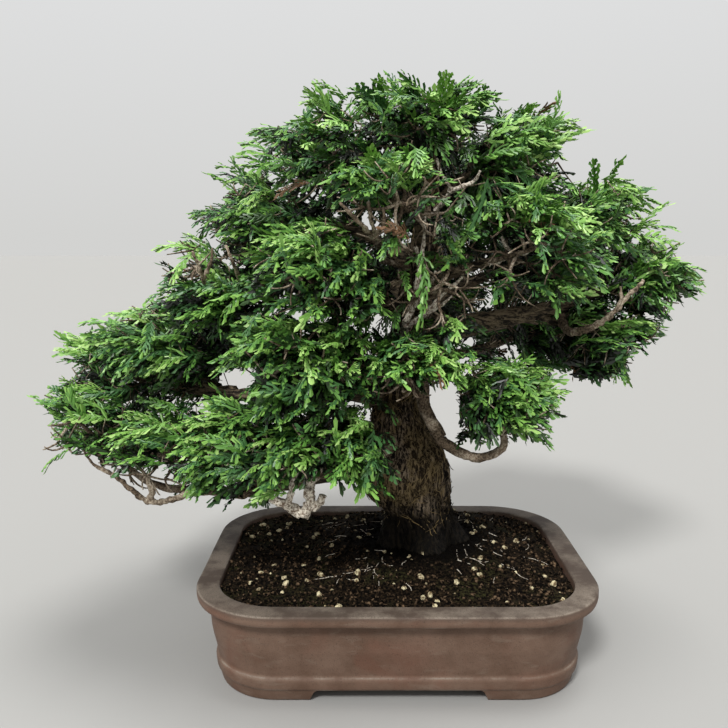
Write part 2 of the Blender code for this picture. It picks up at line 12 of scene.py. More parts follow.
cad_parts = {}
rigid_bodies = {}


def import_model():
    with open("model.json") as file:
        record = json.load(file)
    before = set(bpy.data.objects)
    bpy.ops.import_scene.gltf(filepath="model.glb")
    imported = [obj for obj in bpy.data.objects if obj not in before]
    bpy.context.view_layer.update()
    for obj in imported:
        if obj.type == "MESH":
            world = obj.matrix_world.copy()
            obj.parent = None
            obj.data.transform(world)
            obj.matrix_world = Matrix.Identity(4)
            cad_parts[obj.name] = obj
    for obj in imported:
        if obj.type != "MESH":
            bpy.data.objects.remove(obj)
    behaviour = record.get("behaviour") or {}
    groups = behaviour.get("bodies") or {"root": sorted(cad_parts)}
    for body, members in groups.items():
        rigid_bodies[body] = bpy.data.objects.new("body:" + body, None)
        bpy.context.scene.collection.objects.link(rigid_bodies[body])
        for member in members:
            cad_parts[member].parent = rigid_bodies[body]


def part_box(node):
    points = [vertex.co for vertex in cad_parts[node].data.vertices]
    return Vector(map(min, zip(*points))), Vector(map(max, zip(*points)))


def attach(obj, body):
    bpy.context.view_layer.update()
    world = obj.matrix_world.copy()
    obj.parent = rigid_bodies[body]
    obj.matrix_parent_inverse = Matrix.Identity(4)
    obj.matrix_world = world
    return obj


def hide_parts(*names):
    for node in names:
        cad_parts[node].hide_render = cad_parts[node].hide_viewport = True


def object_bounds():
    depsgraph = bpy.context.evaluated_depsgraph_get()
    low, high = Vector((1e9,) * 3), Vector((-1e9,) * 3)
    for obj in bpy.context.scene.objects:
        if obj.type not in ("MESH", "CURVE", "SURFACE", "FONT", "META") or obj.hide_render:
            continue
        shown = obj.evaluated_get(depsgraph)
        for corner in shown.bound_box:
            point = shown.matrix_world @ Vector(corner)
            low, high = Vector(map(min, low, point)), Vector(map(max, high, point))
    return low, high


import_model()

solid_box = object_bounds()

# Camera
# It stands where the photograph was taken: square to the pot's long side, level with the
# middle of the crown, and looks down a little. Its place is measured from the trunk's foot.
MM = 0.001
FRAME_PIXELS = 728
FOCAL_PIXELS = 784
SENSOR_WIDTH = 36.0
NEAREST_SEEN = 0.02
CAMERA_PITCH = math.radians(9.35)
FOOT_FROM_POT = Vector((23.0, 19.0, 0.0)) * MM
CAMERA_FROM_FOOT = Vector((-48.0, -627.3, 328.1)) * MM

pot_low, pot_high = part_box("pot")
pot_middle = (pot_low + pot_high) / 2
pot_middle.z = 0.0
trunk_foot = pot_middle + FOOT_FROM_POT
scene = bpy.context.scene
camera = bpy.data.objects.new("camera", bpy.data.cameras.new("camera"))
scene.collection.objects.link(camera)
camera.location = trunk_foot + CAMERA_FROM_FOOT
camera.rotation_euler = (math.pi / 2 - CAMERA_PITCH, 0.0, 0.0)
camera.data.sensor_width = SENSOR_WIDTH
camera.data.lens = SENSOR_WIDTH * FOCAL_PIXELS / FRAME_PIXELS
camera.data.clip_start = NEAREST_SEEN
scene.camera = camera
scene.view_settings.view_transform = "Standard"

# Pot
# A pressed stoneware pot, fired without glaze: a rounded rectangle with a flat rim that
# overhangs a soft step, a raised belt near its foot, and four feet left between cut-outs.
RIM_WIDTH = 17.0
POT_CORNER = 62.0
POT_WIDTH = (pot_high.x - pot_low.x) / MM
POT_DEPTH = (pot_high.y - pot_low.y) / MM
POT_HEIGHT = pot_high.z / MM
CORNER_STEPS = 18
SIDE_STEP = 6.0
LIP_HEIGHT = 9.0
WALL_INSET = 9.0
BELT_LOW = 10.0
BELT_HIGH = 19.0
BELT_PROUD = 2.2
FOOT_INSET = 15.5
FOOT_WIDTH = 16.0
UNDERSIDE = 11.0
FLOOR_TOP = 19.0
FOOT_GAP_TOP = 9.5
FOOT_GAP_FRONT = 60.0
FOOT_GAP_SIDE = 42.0
FOOT_GAP_SPLAY = 4.0
SHARPEST_CORNER = 12.0
EDGE_ROUNDING, EDGE_SHARE, EDGE_STEPS = 1.8, 0.45, 4
WARP, WARP_RISE, WARP_LENGTH = 0.5, 0.2, 60.0
FLAT_FOOT = 1.0
SHARP_ANGLE = math.radians(38)


def add_object(name, mesh):
    item = bpy.data.objects.new(name, mesh)
    scene.collection.objects.link(item)
    return item


def pot_outline(inset):
    """Points round the pot this far in from its rim, in millimetres from its middle."""
    half_x, half_y = POT_WIDTH / 2 - inset, POT_DEPTH / 2 - inset
    corner = max(POT_CORNER - inset, SHARPEST_CORNER)
    arcs = []
    for quarter, (side_x, side_y) in enumerate(((1, 1), (-1, 1), (-1, -1), (1, -1))):
        angles = np.pi / 2 * (quarter + np.linspace(0, 1, CORNER_STEPS + 1))
        x = side_x * (half_x - corner) + corner * np.cos(angles)
        y = side_y * (half_y - corner) + corner * np.sin(angles)
        arcs.append(np.stack([x, y], 1))
    outline = []
    for quarter, arc in enumerate(arcs):
        following = arcs[(quarter + 1) % 4][0]
        long_side = POT_WIDTH if quarter % 2 == 0 else POT_DEPTH
        steps = round((long_side - 2 * POT_CORNER) / SIDE_STEP)
        shares = np.linspace(0, 1, steps + 1)[1:-1, None]
        outline.append(np.vstack([arc, arc[-1] + (following - arc[-1]) * shares]))
    return np.vstack(outline)


def rounded_profile(profile, radius):
    """The profile with each of its corners turned into a short arc."""
    points = [Vector(profile[0])]
    for before, corner, after in zip(profile, profile[1:], profile[2:]):
        corner = Vector(corner)
        ends = []
        for beside in (Vector(before), Vector(after)):
            reach = min(radius, (beside - corner).length * EDGE_SHARE)
            ends.append(corner + (beside - corner).normalized() * reach)
        for k in range(EDGE_STEPS + 1):
            t = k / EDGE_STEPS
            points.append(ends[0].lerp(corner, t).lerp(corner.lerp(ends[1], t), t))
    points.append(Vector(profile[-1]))
    return points


def closed_loft(rings):
    """Faces between rings of the same count, with flat ends, as one closed mesh."""
    count = len(rings[0])
    points = np.vstack(rings)
    around = np.arange(count)
    following = np.roll(around, -1)
    faces = []
    for k in range(len(rings) - 1):
        low, high = k * count, (k + 1) * count
        walls = np.stack([low + around, low + following, high + following, high + around], 1)
        faces += walls.tolist()
    last = (len(rings) - 1) * count
    faces.append(around[::-1].tolist())
    faces.append((last + around).tolist())
    return points, faces


def mesh_of(name, points, faces):
    mesh = bpy.data.meshes.new(name)
    mesh.from_pydata(np.asarray(points).tolist(), [], faces)
    shell = bmesh.new()
    shell.from_mesh(mesh)
    bmesh.ops.recalc_face_normals(shell, faces=shell.faces[:])
    shell.to_mesh(mesh)
    shell.free()
    return mesh


def lay_on_pot(spots, height):
    """Turn millimetres from the pot's middle into points of the frame."""
    flat = spots * MM + np.array(pot_middle)[:2]
    return np.column_stack([flat, np.full(len(flat), height * MM)])


def cut_foot_gap(body, half_gap, length, along_x):
    """Cut the foot ring between two feet with a bar that splays downwards."""
    top = FOOT_GAP_TOP
    wide = half_gap + 2 * FOOT_GAP_SPLAY
    section = rounded_profile(
        ((-wide, -top), (-half_gap, top), (half_gap, top), (wide, -top)), EDGE_ROUNDING * 2
    )
    rings = []
    for end in (-length, length):
        spots = np.array([((end, s) if along_x else (s, end)) for s, _ in section])
        ring = lay_on_pot(spots, 0.0)
        ring[:, 2] = [z * MM for _, z in section]
        rings.append(ring)
    cutter = add_object("foot_gap_cutter", mesh_of("foot_gap_cutter", *closed_loft(rings)))
    step = body.modifiers.new("foot_gap", "BOOLEAN")
    step.operation = "DIFFERENCE"
    step.object = cutter
    graph = bpy.context.evaluated_depsgraph_get()
    body.data = bpy.data.meshes.new_from_object(body.evaluated_get(graph))
    body.modifiers.clear()
    bpy.data.objects.remove(cutter)


lip_bottom = POT_HEIGHT - LIP_HEIGHT
belt = FOOT_INSET - BELT_PROUD
pot_profile = (
    (FOOT_INSET + FOOT_WIDTH + 1.5, UNDERSIDE),
    (FOOT_INSET + FOOT_WIDTH, 0.0),
    (FOOT_INSET + 1.6, 0.0),
    (FOOT_INSET - 0.8, BELT_LOW - 0.8),
    (belt, BELT_LOW + 0.6),
    (belt - 0.8, BELT_HIGH - 1.0),
    (belt + 1.4, BELT_HIGH + 0.9),
    (WALL_INSET + 1.4, 40.0),
    (WALL_INSET, lip_bottom - 3.5),
    (WALL_INSET - 2.2, lip_bottom - 0.6),
    (1.0, lip_bottom + 0.4),
    (0.0, lip_bottom + 3.0),
    (0.0, POT_HEIGHT),
    (RIM_WIDTH, POT_HEIGHT),
    (RIM_WIDTH + 3.0, FLOOR_TOP + 6.0),
    (RIM_WIDTH + 9.0, FLOOR_TOP),
)
pot_rings = [lay_on_pot(pot_outline(inset), height)
             for inset, height in rounded_profile(pot_profile, EDGE_ROUNDING)]
pot = add_object("stoneware_pot", mesh_of("stoneware_pot", *closed_loft(pot_rings)))
cut_foot_gap(pot, FOOT_GAP_FRONT, POT_DEPTH, False)
cut_foot_gap(pot, FOOT_GAP_SIDE, POT_WIDTH, True)
for vertex in pot.data.vertices:
    if vertex.co.z > FLAT_FOOT * MM:
        push = noise.noise_vector(vertex.co / (WARP_LENGTH * MM))
        vertex.co += push * Vector((WARP, WARP, WARP_RISE)) * MM
pot.data.shade_smooth()
pot.data.set_sharp_from_angle(angle=SHARP_ANGLE)


def linear(code):
    """The linear colour of an sRGB hex code."""
    channels = [int(code[k:k + 2], 16) / 255 for k in (0, 2, 4)]
    return tuple(c / 12.92 if c <= 0.04045 else ((c + 0.055) / 1.055) ** 2.4
                 for c in channels) + (1.0,)


def add(tree, kind, inputs=(), **settings):
    """Add one node with its settings. An input takes a plain value or another node's socket."""
    node = tree.nodes.new(kind)
    for key, value in settings.items():
        setattr(node, key, value)
    for key, value in dict(inputs).items():
        if isinstance(value, bpy.types.NodeSocket):
            tree.links.new(value, node.inputs[key])
        else:
            node.inputs[key].default_value = value
    return node


def new_material(name, roughness, specular=0.5):
    material = bpy.data.materials.new(name)
    material.use_nodes = True
    shader = material.node_tree.nodes["Principled BSDF"]
    shader.inputs["Roughness"].default_value = roughness
    shader.inputs["Specular IOR Level"].default_value = specular
    return material, material.node_tree, shader


# Unglazed stoneware, wiped with a wet sponge before firing: even brown and matt, with a fine
# sandy grain, faint wipe marks, and white along its edges that is partly mineral bloom where
# water dries and partly a painted highlight.
BODY_DARK, BODY_LIGHT = linear("594335"), linear("6c5648")
BODY_RED = linear("644233")
RIM_GREY = linear("3f3831")
BLOOM_WHITE_AND_HIGHLIGHT = linear("83786b")
# Of each edge: its height and the reach of its pale band, partly bloom and partly painted highlight, in mm.
BLOOM_AND_HIGHLIGHT_EDGES = ((BELT_LOW, 1.0), (BELT_HIGH, 0.8), (lip_bottom + 0.5, 0.9), (POT_HEIGHT - 0.4, 1.0))
MOTTLE_SIZE, BLUSH_SIZE, GRAIN_SIZE, WIPE_SIZE = 26.0, 26.0 / 0.7, 0.9, 24.0
stoneware, tree, shader = new_material("unglazed_stoneware", 0.68, 0.35)
place = add(tree, "ShaderNodeTexCoord").outputs["Object"]
height = add(tree, "ShaderNodeSeparateXYZ", {0: place}).outputs["Z"]
stretched = add(tree, "ShaderNodeMapping", {"Vector": place, "Scale": (1.0, 1.0, 3.5)}).outputs[0]
mottle, blush, grain, wipes = [
    add(tree, "ShaderNodeTexNoise", {"Vector": vector, "Scale": 1 / (size * MM), "Detail": detail,
                                     "Roughness": rough, "Distortion": distortion}).outputs[0]
    for vector, size, detail, rough, distortion in (
        (place, MOTTLE_SIZE, 7.0, 0.62, 0.0), (place, BLUSH_SIZE, 3.0, 0.5, 0.8),
        (place, GRAIN_SIZE, 3.0, 0.5, 0.0), (stretched, WIPE_SIZE, 6.0, 0.5, 1.2))]
mottle_share = add(tree, "ShaderNodeMapRange", {0: mottle, 1: 0.36, 2: 0.64}).outputs[0]
blush_share = add(tree, "ShaderNodeMapRange", {0: blush, 1: 0.5, 2: 0.72, 4: 0.5}).outputs[0]
body = add(tree, "ShaderNodeMix",
           {0: mottle_share, 6: BODY_DARK, 7: BODY_LIGHT}, data_type="RGBA").outputs[2]
body = add(tree, "ShaderNodeMix", {0: blush_share, 6: body, 7: BODY_RED}, data_type="RGBA").outputs[2]
rim_share = add(tree, "ShaderNodeMapRange",
                {0: height, 1: (lip_bottom + 5) * MM, 2: POT_HEIGHT * MM, 4: 0.75}).outputs[0]
body = add(tree, "ShaderNodeMix", {0: rim_share, 6: body, 7: RIM_GREY}, data_type="RGBA").outputs[2]
bloom_and_highlight = None
# Pale bands at the belt, lip and rim edges: partly mineral bloom, partly painted highlight.
for level, reach in BLOOM_AND_HIGHLIGHT_EDGES:
    above = add(tree, "ShaderNodeMath", {0: height, 1: level * MM}, operation="SUBTRACT").outputs[0]
    away = add(tree, "ShaderNodeMath", {0: above}, operation="ABSOLUTE").outputs[0]
    band = add(tree, "ShaderNodeMapRange", {0: away, 1: 0.0, 2: reach * MM, 3: 1.0, 4: 0.0}).outputs[0]
    bloom_and_highlight = band if bloom_and_highlight is None else add(
        tree, "ShaderNodeMath", {0: bloom_and_highlight, 1: band}, operation="MAXIMUM").outputs[0]
patches = add(tree, "ShaderNodeMapRange", {0: mottle, 1: 0.44, 2: 0.6}).outputs[0]
bloom_and_highlight = add(tree, "ShaderNodeMath", {0: bloom_and_highlight, 1: patches}, operation="MULTIPLY").outputs[0]
film = add(tree, "ShaderNodeMapRange", {0: wipes, 1: 0.56, 2: 0.74, 4: 0.28}).outputs[0]
bloom_and_highlight = add(tree, "ShaderNodeMath", {0: bloom_and_highlight, 1: film}, operation="MAXIMUM").outputs[0]
speckle = add(tree, "ShaderNodeMapRange", {0: grain, 1: 0.3, 2: 0.55, 3: 0.35, 4: 0.9}).outputs[0]
bloom_and_highlight = add(tree, "ShaderNodeMath", {0: bloom_and_highlight, 1: speckle}, operation="MULTIPLY").outputs[0]
body = add(tree, "ShaderNodeMix", {0: bloom_and_highlight, 6: body, 7: BLOOM_WHITE_AND_HIGHLIGHT}, data_type="RGBA").outputs[2]
pits = add(tree, "ShaderNodeMapRange", {0: grain, 1: 0.3, 2: 0.42, 3: 0.65, 4: 1.0}).outputs[0]
body = add(tree, "ShaderNodeMix",
           {0: 1.0, 6: body, 7: pits}, data_type="RGBA", blend_type="MULTIPLY").outputs[2]
relief = add(tree, "ShaderNodeMath", {0: wipes, 1: grain}, operation="ADD").outputs[0]
bump = add(tree, "ShaderNodeBump", {"Strength": 0.35, "Distance": 0.4 * MM, "Height": relief}).outputs[0]
tree.links.new(body, shader.inputs["Base Color"])
tree.links.new(bump, shader.inputs["Normal"])
pot.data.materials.clear()
pot.data.materials.append(stoneware)
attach(pot, "root")
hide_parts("pot")

# Soil
# Damp dark potting soil that fills the pot nearly to its rim and mounds up to the trunk,
# with grains, pale pumice, dry rootlets and a thin film of moss on it.
SOIL_EDGE = 69.0
SOIL_CROWN = 78.0
SOIL_MOUND_RADIUS = 52.0
SOIL_MOUND_RUN = 60.0
SOIL_STEP = 1.7
SOIL_SKIRT = 8.0
SOIL_SUNK = 0.6
LUMPS = ((1.5, 19.0), (0.9, 6.5))
LUMPS_LOST_ON_MOUND = 0.4
CRUMB_RISE, CRUMB_RUN = 0.8, 2.6
GRIT_RISE, GRIT_RUN = 0.5, 1.3


def from_foot(x, y, z):
    """Turn millimetres from the trunk's foot into a point of the frame."""
    return np.array(trunk_foot) + np.array((x, y, z)) * MM


def inside_pot(x, y, inset):
    """Whether a spot, in millimetres from the pot's middle, lies inside this outline."""
    corner = POT_CORNER - inset
    over_x = max(abs(x) - (POT_WIDTH / 2 - inset - corner), 0.0)
    over_y = max(abs(y) - (POT_DEPTH / 2 - inset - corner), 0.0)
    return math.hypot(over_x, over_y) <= corner


def soil_height(x, y):
    """Height of the soil over a spot, in millimetres from the pot's middle."""
    away = math.hypot(x - FOOT_FROM_POT.x / MM, y - FOOT_FROM_POT.y / MM) - SOIL_MOUND_RADIUS
    share = min(max(1 - away / SOIL_MOUND_RUN, 0.0), 1.0)
    mound = share * share * (3 - 2 * share)
    spot = Vector((x, y, 0.0))
    lumps = sum(rise * noise.noise(spot / run) for rise, run in LUMPS) * (1 - LUMPS_LOST_ON_MOUND * mound)
    crumbs = CRUMB_RISE * abs(noise.noise(spot / CRUMB_RUN)) + GRIT_RISE * noise.noise(spot / GRIT_RUN)
    return SOIL_EDGE + (SOIL_CROWN - SOIL_EDGE) * mound + lumps + crumbs - SOIL_SUNK


columns = int(POT_WIDTH / SOIL_STEP)
rows = int(POT_DEPTH / SOIL_STEP)
soil_spots = {}
soil_points = []
for row in range(rows + 1):
    for column in range(columns + 1):
        x = column * SOIL_STEP - POT_WIDTH / 2
        y = row * SOIL_STEP - POT_DEPTH / 2
        if inside_pot(x, y, RIM_WIDTH + 1.0):
            soil_spots[column, row] = len(soil_points)
            soil_points.append(lay_on_pot(np.array([[x, y]]), soil_height(x, y))[0])
soil_faces = []
for (column, row), first in soil_spots.items():
    corners = [soil_spots.get((column + a, row + b)) for a, b in ((0, 0), (1, 0), (1, 1), (0, 1))]
    if None not in corners:
        soil_faces.append(corners)
soil_surface = bpy.data.meshes.new("soil_surface")
soil_surface.from_pydata([tuple(point) for point in soil_points], [], soil_faces)
shell = bmesh.new()
shell.from_mesh(soil_surface)
bmesh.ops.delete(shell, geom=[vert for vert in shell.verts if not vert.link_faces], context="VERTS")
rim_edges = [edge for edge in shell.edges if edge.is_boundary]
skirt = bmesh.ops.extrude_edge_only(shell, edges=rim_edges)["geom"]
for vert in skirt:
    if isinstance(vert, bmesh.types.BMVert):
        vert.co.z = (SOIL_EDGE - SOIL_SKIRT) * MM
bottom = [edge for edge in shell.edges if edge.is_boundary]
bmesh.ops.contextual_create(shell, geom=bottom)
bmesh.ops.recalc_face_normals(shell, faces=shell.faces[:])
soil_mesh = bpy.data.meshes.new("potting_soil")
shell.to_mesh(soil_mesh)
shell.free()
soil = add_object("potting_soil", soil_mesh)
soil.data.shade_smooth()

DAMP_NEAR, DAMP_FAR = 46.0, 78.0


def dried(tree, place, share):
    """A share of dry colour, less where water lies: none round the trunk, all of it further off."""
    middle = tuple(trunk_foot)[:2] + (SOIL_CROWN * MM,)
    away = add(tree, "ShaderNodeVectorMath", {0: place, 1: middle}, operation="DISTANCE").outputs["Value"]
    dry = add(tree, "ShaderNodeMapRange", {0: away, 1: DAMP_NEAR * MM, 2: DAMP_FAR * MM}).outputs[0]
    return add(tree, "ShaderNodeMath", {0: share, 1: dry}, operation="MULTIPLY").outputs[0]


# Damp potting soil, sieved bark and clay: almost black and crumbly, blackest round the trunk,
# with a green film of moss in patches.
SOIL_BLACK, SOIL_BROWN = linear("070504"), linear("3a2e20")
MOSS_GREEN = linear("30341a")
CRUMB_SIZE, MOSS_SIZE = 2.0, 26.0
damp_soil, tree, shader = new_material("damp_potting_soil", 0.92, 0.05)
place = add(tree, "ShaderNodeTexCoord").outputs["Object"]
crumb = add(tree, "ShaderNodeTexNoise",
            {"Vector": place, "Scale": 1 / (CRUMB_SIZE * MM), "Detail": 5.0, "Roughness": 0.65}).outputs[0]
moss = add(tree, "ShaderNodeTexNoise",
           {"Vector": place, "Scale": 1 / (MOSS_SIZE * MM), "Detail": 4.0}).outputs[0]
crumb_share = add(tree, "ShaderNodeMapRange", {0: crumb, 1: 0.45, 2: 0.7}).outputs[0]
crumb_share = dried(tree, place, crumb_share)
moss_share = add(tree, "ShaderNodeMapRange", {0: moss, 1: 0.48, 2: 0.62, 4: 0.9}).outputs[0]
moss_share = add(tree, "ShaderNodeMath", {0: moss_share, 1: crumb_share}, operation="MULTIPLY").outputs[0]
colour = add(tree, "ShaderNodeMix",
             {0: crumb_share, 6: SOIL_BLACK, 7: SOIL_BROWN}, data_type="RGBA").outputs[2]
colour = add(tree, "ShaderNodeMix",
             {0: moss_share, 6: colour, 7: MOSS_GREEN}, data_type="RGBA").outputs[2]
bump = add(tree, "ShaderNodeBump", {"Strength": 0.9, "Distance": 1.2 * MM, "Height": crumb}).outputs[0]
tree.links.new(colour, shader.inputs["Base Color"])
tree.links.new(bump, shader.inputs["Normal"])
soil.data.materials.append(damp_soil)
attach(soil, "root")
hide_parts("soil")

# Grains on the soil
# Crumbs of bark and fired clay up to 3 mm, and lumps of cream pumice up to 8 mm, that the
# watering has washed clean. They lie where they fell, a little sunk into the soil.
GRAIN_SHAPES = 5
GRAIN_SEED, TURN_SEED, SIZE_SEED = 11, 3, 5
GRAIN_NOISE, GRAIN_ROUGHNESS, GRAIN_FLATNESS = 1.1, 0.55, 0.75
NEXT_SHAPE = Vector((7.3, 0.0, 0.0))
FULL_TURN = 6.28
# Of each kind: how many, the least and the most radius in mm, and how often a shape is divided.
GRAINS = {
    "soil_crumbs": (3200, 0.6, 2.2, 1),
    "clay_grains": (800, 0.35, 1.1, 1),
    "pumice_grains": (120, 0.6, 3.1, 2),
}


def stone_shapes(name, subdivisions):
    """A collection of rough lumps of unit radius, each of its own shape."""
    group = bpy.data.collections.new(name)
    scene.collection.children.link(group)
    for kind in range(GRAIN_SHAPES):
        shell = bmesh.new()
        bmesh.ops.create_icosphere(shell, subdivisions=subdivisions, radius=1.0)
        for vert in shell.verts:
            vert.co *= 1 + GRAIN_ROUGHNESS * noise.noise(vert.co * GRAIN_NOISE + NEXT_SHAPE * kind)
            vert.co.z *= GRAIN_FLATNESS
        mesh = bpy.data.meshes.new(name)
        shell.to_mesh(mesh)
        shell.free()
        group.objects.link(bpy.data.objects.new(f"{name}_{kind}", mesh))
    return group


def socket(tree, name, kind, incoming=True):
    return tree.interface.new_socket(
        name, in_out="INPUT" if incoming else "OUTPUT", socket_type="NodeSocket" + kind
    )


def grown(tree, base, values):
    """The plain mesh that a node tree makes from a base mesh with these input values."""
    holder = add_object("holder", base)
    step = holder.modifiers.new("grow", "NODES")
    step.node_group = tree
    for item in tree.interface.items_tree:
        if item.item_type == "SOCKET" and item.name in values:
            step[item.identifier] = values[item.name]
    graph = bpy.context.evaluated_depsgraph_get()
    mesh = bpy.data.meshes.new_from_object(holder.evaluated_get(graph))
    holder.modifiers.remove(step)
    bpy.data.objects.remove(holder)
    return mesh


def drop(group):
    """Remove the pattern shapes of a collection once they are realised."""
    for item in list(group.objects):
        bpy.data.objects.remove(item)
    bpy.data.collections.remove(group)


scatter = bpy.data.node_groups.new("grains_on_soil", "GeometryNodeTree")
for name, kind in (("Geometry", "Geometry"), ("Density", "Float"), ("Seed", "Int"), ("Smallest", "Float"),
                   ("Largest", "Float"), ("Shapes", "Collection"), ("Finish", "Material")):
    socket(scatter, name, kind)
socket(scatter, "Geometry", "Geometry", incoming=False)
given = add(scatter, "NodeGroupInput").outputs
points = add(scatter, "GeometryNodeDistributePointsOnFaces",
             {"Mesh": given["Geometry"], "Density": given["Density"], "Seed": given["Seed"]})
shapes = add(scatter, "GeometryNodeCollectionInfo",
             {"Collection": given["Shapes"], "Separate Children": True})
turn = add(scatter, "FunctionNodeRandomValue",
           {0: (0.0,) * 3, 1: (FULL_TURN,) * 3, "Seed": TURN_SEED}, data_type="FLOAT_VECTOR").outputs[0]
size = add(scatter, "FunctionNodeRandomValue",
           {2: given["Smallest"], 3: given["Largest"], "Seed": SIZE_SEED}, data_type="FLOAT").outputs[1]
laid = add(scatter, "GeometryNodeInstanceOnPoints",
           {"Points": points.outputs["Points"], "Instance": shapes.outputs[0], "Pick Instance": True,
            "Rotation": turn, "Scale": size}).outputs[0]
solid = add(scatter, "GeometryNodeRealizeInstances", {0: laid}).outputs[0]
finished = add(scatter, "GeometryNodeSetMaterial", {0: solid, "Material": given["Finish"]}).outputs[0]
add(scatter, "NodeGroupOutput", {0: finished})



def two_tone(name, roughness, specular, colours, size, span, detail, grit=0.5, warp=0.0,
             drawn=(1.0, 1.0, 1.0), relief=None, damp=False):
    """A finish that runs from its dark to its light colour with a noise of this size in mm.

    The span of the noise gives the change, drawn stretches it along an axis, and the relief is
    a bump's strength and its depth in mm. A damp one stays dark near the trunk."""
    material, tree, shader = new_material(name, roughness, specular)
    place = add(tree, "ShaderNodeTexCoord").outputs["Object"]
    vector = add(tree, "ShaderNodeMapping", {"Vector": place, "Scale": drawn}).outputs[0]
    pattern = add(tree, "ShaderNodeTexNoise",
                  {"Vector": vector, "Scale": 1 / (size * MM), "Detail": detail, "Roughness": grit,
                   "Distortion": warp}).outputs[0]
    share = add(tree, "ShaderNodeMapRange", {0: pattern, 1: span[0], 2: span[1]}).outputs[0]
    if damp:
        share = dried(tree, place, share)
    dark, light = (linear(code) for code in colours)
    colour = add(tree, "ShaderNodeMix", {0: share, 6: dark, 7: light}, data_type="RGBA").outputs[2]
    tree.links.new(colour, shader.inputs["Base Color"])
    if relief:
        bump = add(tree, "ShaderNodeBump",
                   {"Strength": relief[0], "Distance": relief[1] * MM, "Height": pattern}).outputs[0]
        tree.links.new(bump, shader.inputs["Normal"])
    return material


# Crumbs of bark and clay: dark brown and dull, each a little lighter or darker.
crumb_finish = two_tone("bark_and_clay_crumbs", 0.92, 0.05, ("080604", "6a5642"), 3.0, (0.5, 0.7), 2.0,
                        damp=True)
# Fired clay: small tan grains, dull and dry.
clay_finish = two_tone("fired_clay_grains", 0.9, 0.2, ("7d5f40", "cbb893"), 5.0, (0.4, 0.6), 2.0)
# Pumice: a cream volcanic glass froth, quite matt, stained by the soil in its hollows.
pumice_finish = two_tone("cream_pumice", 0.9, 0.3, ("5e4c33", "d9cda6"), 2.4, (0.4, 0.62), 4.0)

soil_area = sum(polygon.area for polygon in soil_surface.polygons)
for (name, (count, smallest, largest, subdivisions)), look in zip(
        GRAINS.items(), (crumb_finish, clay_finish, pumice_finish)):
    group = stone_shapes(name + "_shapes", subdivisions)
    mesh = grown(scatter, soil_surface, {
        "Density": count / soil_area, "Seed": GRAIN_SEED + len(name), "Smallest": smallest * MM,
        "Largest": largest * MM, "Shapes": group, "Finish": look,
    })
    drop(group)
    grains = add_object(name, mesh)
    grains.data.shade_flat()
    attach(grains, "root")

# Trunk
# Old hinoki wood under fibrous bark that peels in long strips: it swells over five roots,
# bulges to the left and tapers up through the crown to its tip.
# Of each section: its height, its middle across and back from the foot, and its radius, in mm.
TRUNK_SECTIONS = (
    (78.3, -1, 0, 36.0),
    (88, -2, 0, 32.5),
    (102, -4, -1, 29.5),
    (115, -10, -2, 33.0),
    (128, -15, -3, 37.0),
    (142, -15, -4, 37.0),
    (155, -15, -4, 32.5),
    (166, -18, -3, 26.0),
    (182, -21, -2, 20.5),
    (207, -19, 0, 18.0),
    (235, -14, 3, 16.5),
    (268, -9, 4, 14.5),
    (305, -3, 3, 12.0),
    (341, 1, 1, 8.5),
    (380, 4, 0, 5.5),
    (398, 5, 0, 3.5),
)
TRUNK_SIDES = 150
TRUNK_STEP = 1.8
TRUNK_SUNK = 3.0
ROOT_RIDGES = 5
ROOT_RIDGE_SHARE = 0.14
ROOT_RIDGE_FADE = 14.0
ROOT_RIDGE_TURN = 0.5
BARK_TWIST = 0.009
FULL_RELIEF_RADIUS = 20.0
STRIP_WIDTH, STRIP_LENGTH, STRIP_DEPTH, STRIP_SWELL = 6.0, 48.0, 2.8, 0.8
SPLIT_SHARE = 0.16
FIBRE_WIDTH, FIBRE_LENGTH, FIBRE_DEPTH = 1.8, 15.0, 1.4
LUMP_SIZE, LUMP_DEPTH = 22.0, 2.6


def unit(vectors):
    return vectors / np.linalg.norm(vectors, axis=-1, keepdims=True)


def smooth_line(points, step):
    """Points along a smooth curve through the given ones, about a step apart."""
    points = [np.asarray(point, float) for point in points]
    line = []
    for k in range(len(points) - 1):
        before, start, end = points[max(k - 1, 0)], points[k], points[k + 1]
        after = points[min(k + 2, len(points) - 1)]
        count = max(1, round(float(np.linalg.norm((end - start)[:3])) / step))
        for t in np.arange(count) / count:
            line.append(0.5 * (
                2 * start + (end - before) * t
                + (2 * before - 5 * start + 4 * end - after) * t * t
                + (3 * start - before - 3 * end + after) * t * t * t
            ))
    line.append(points[-1])
    return np.array(line)


def bark_relief(point, out, along, scale):
    """How far the bark stands proud at a point, from its strips, fibres and lumps."""
    strip, fibre = (noise.noise(Vector((out.x, out.y, along / length * width)) / (width * scale))
                    for width, length in ((STRIP_WIDTH, STRIP_LENGTH), (FIBRE_WIDTH, FIBRE_LENGTH)))
    split = max(0.0, 1 - abs(strip) / SPLIT_SHARE)
    lump = noise.noise(point / (LUMP_SIZE * scale))
    return scale * (LUMP_DEPTH * lump - STRIP_DEPTH * split + FIBRE_DEPTH * fibre + STRIP_SWELL * strip)


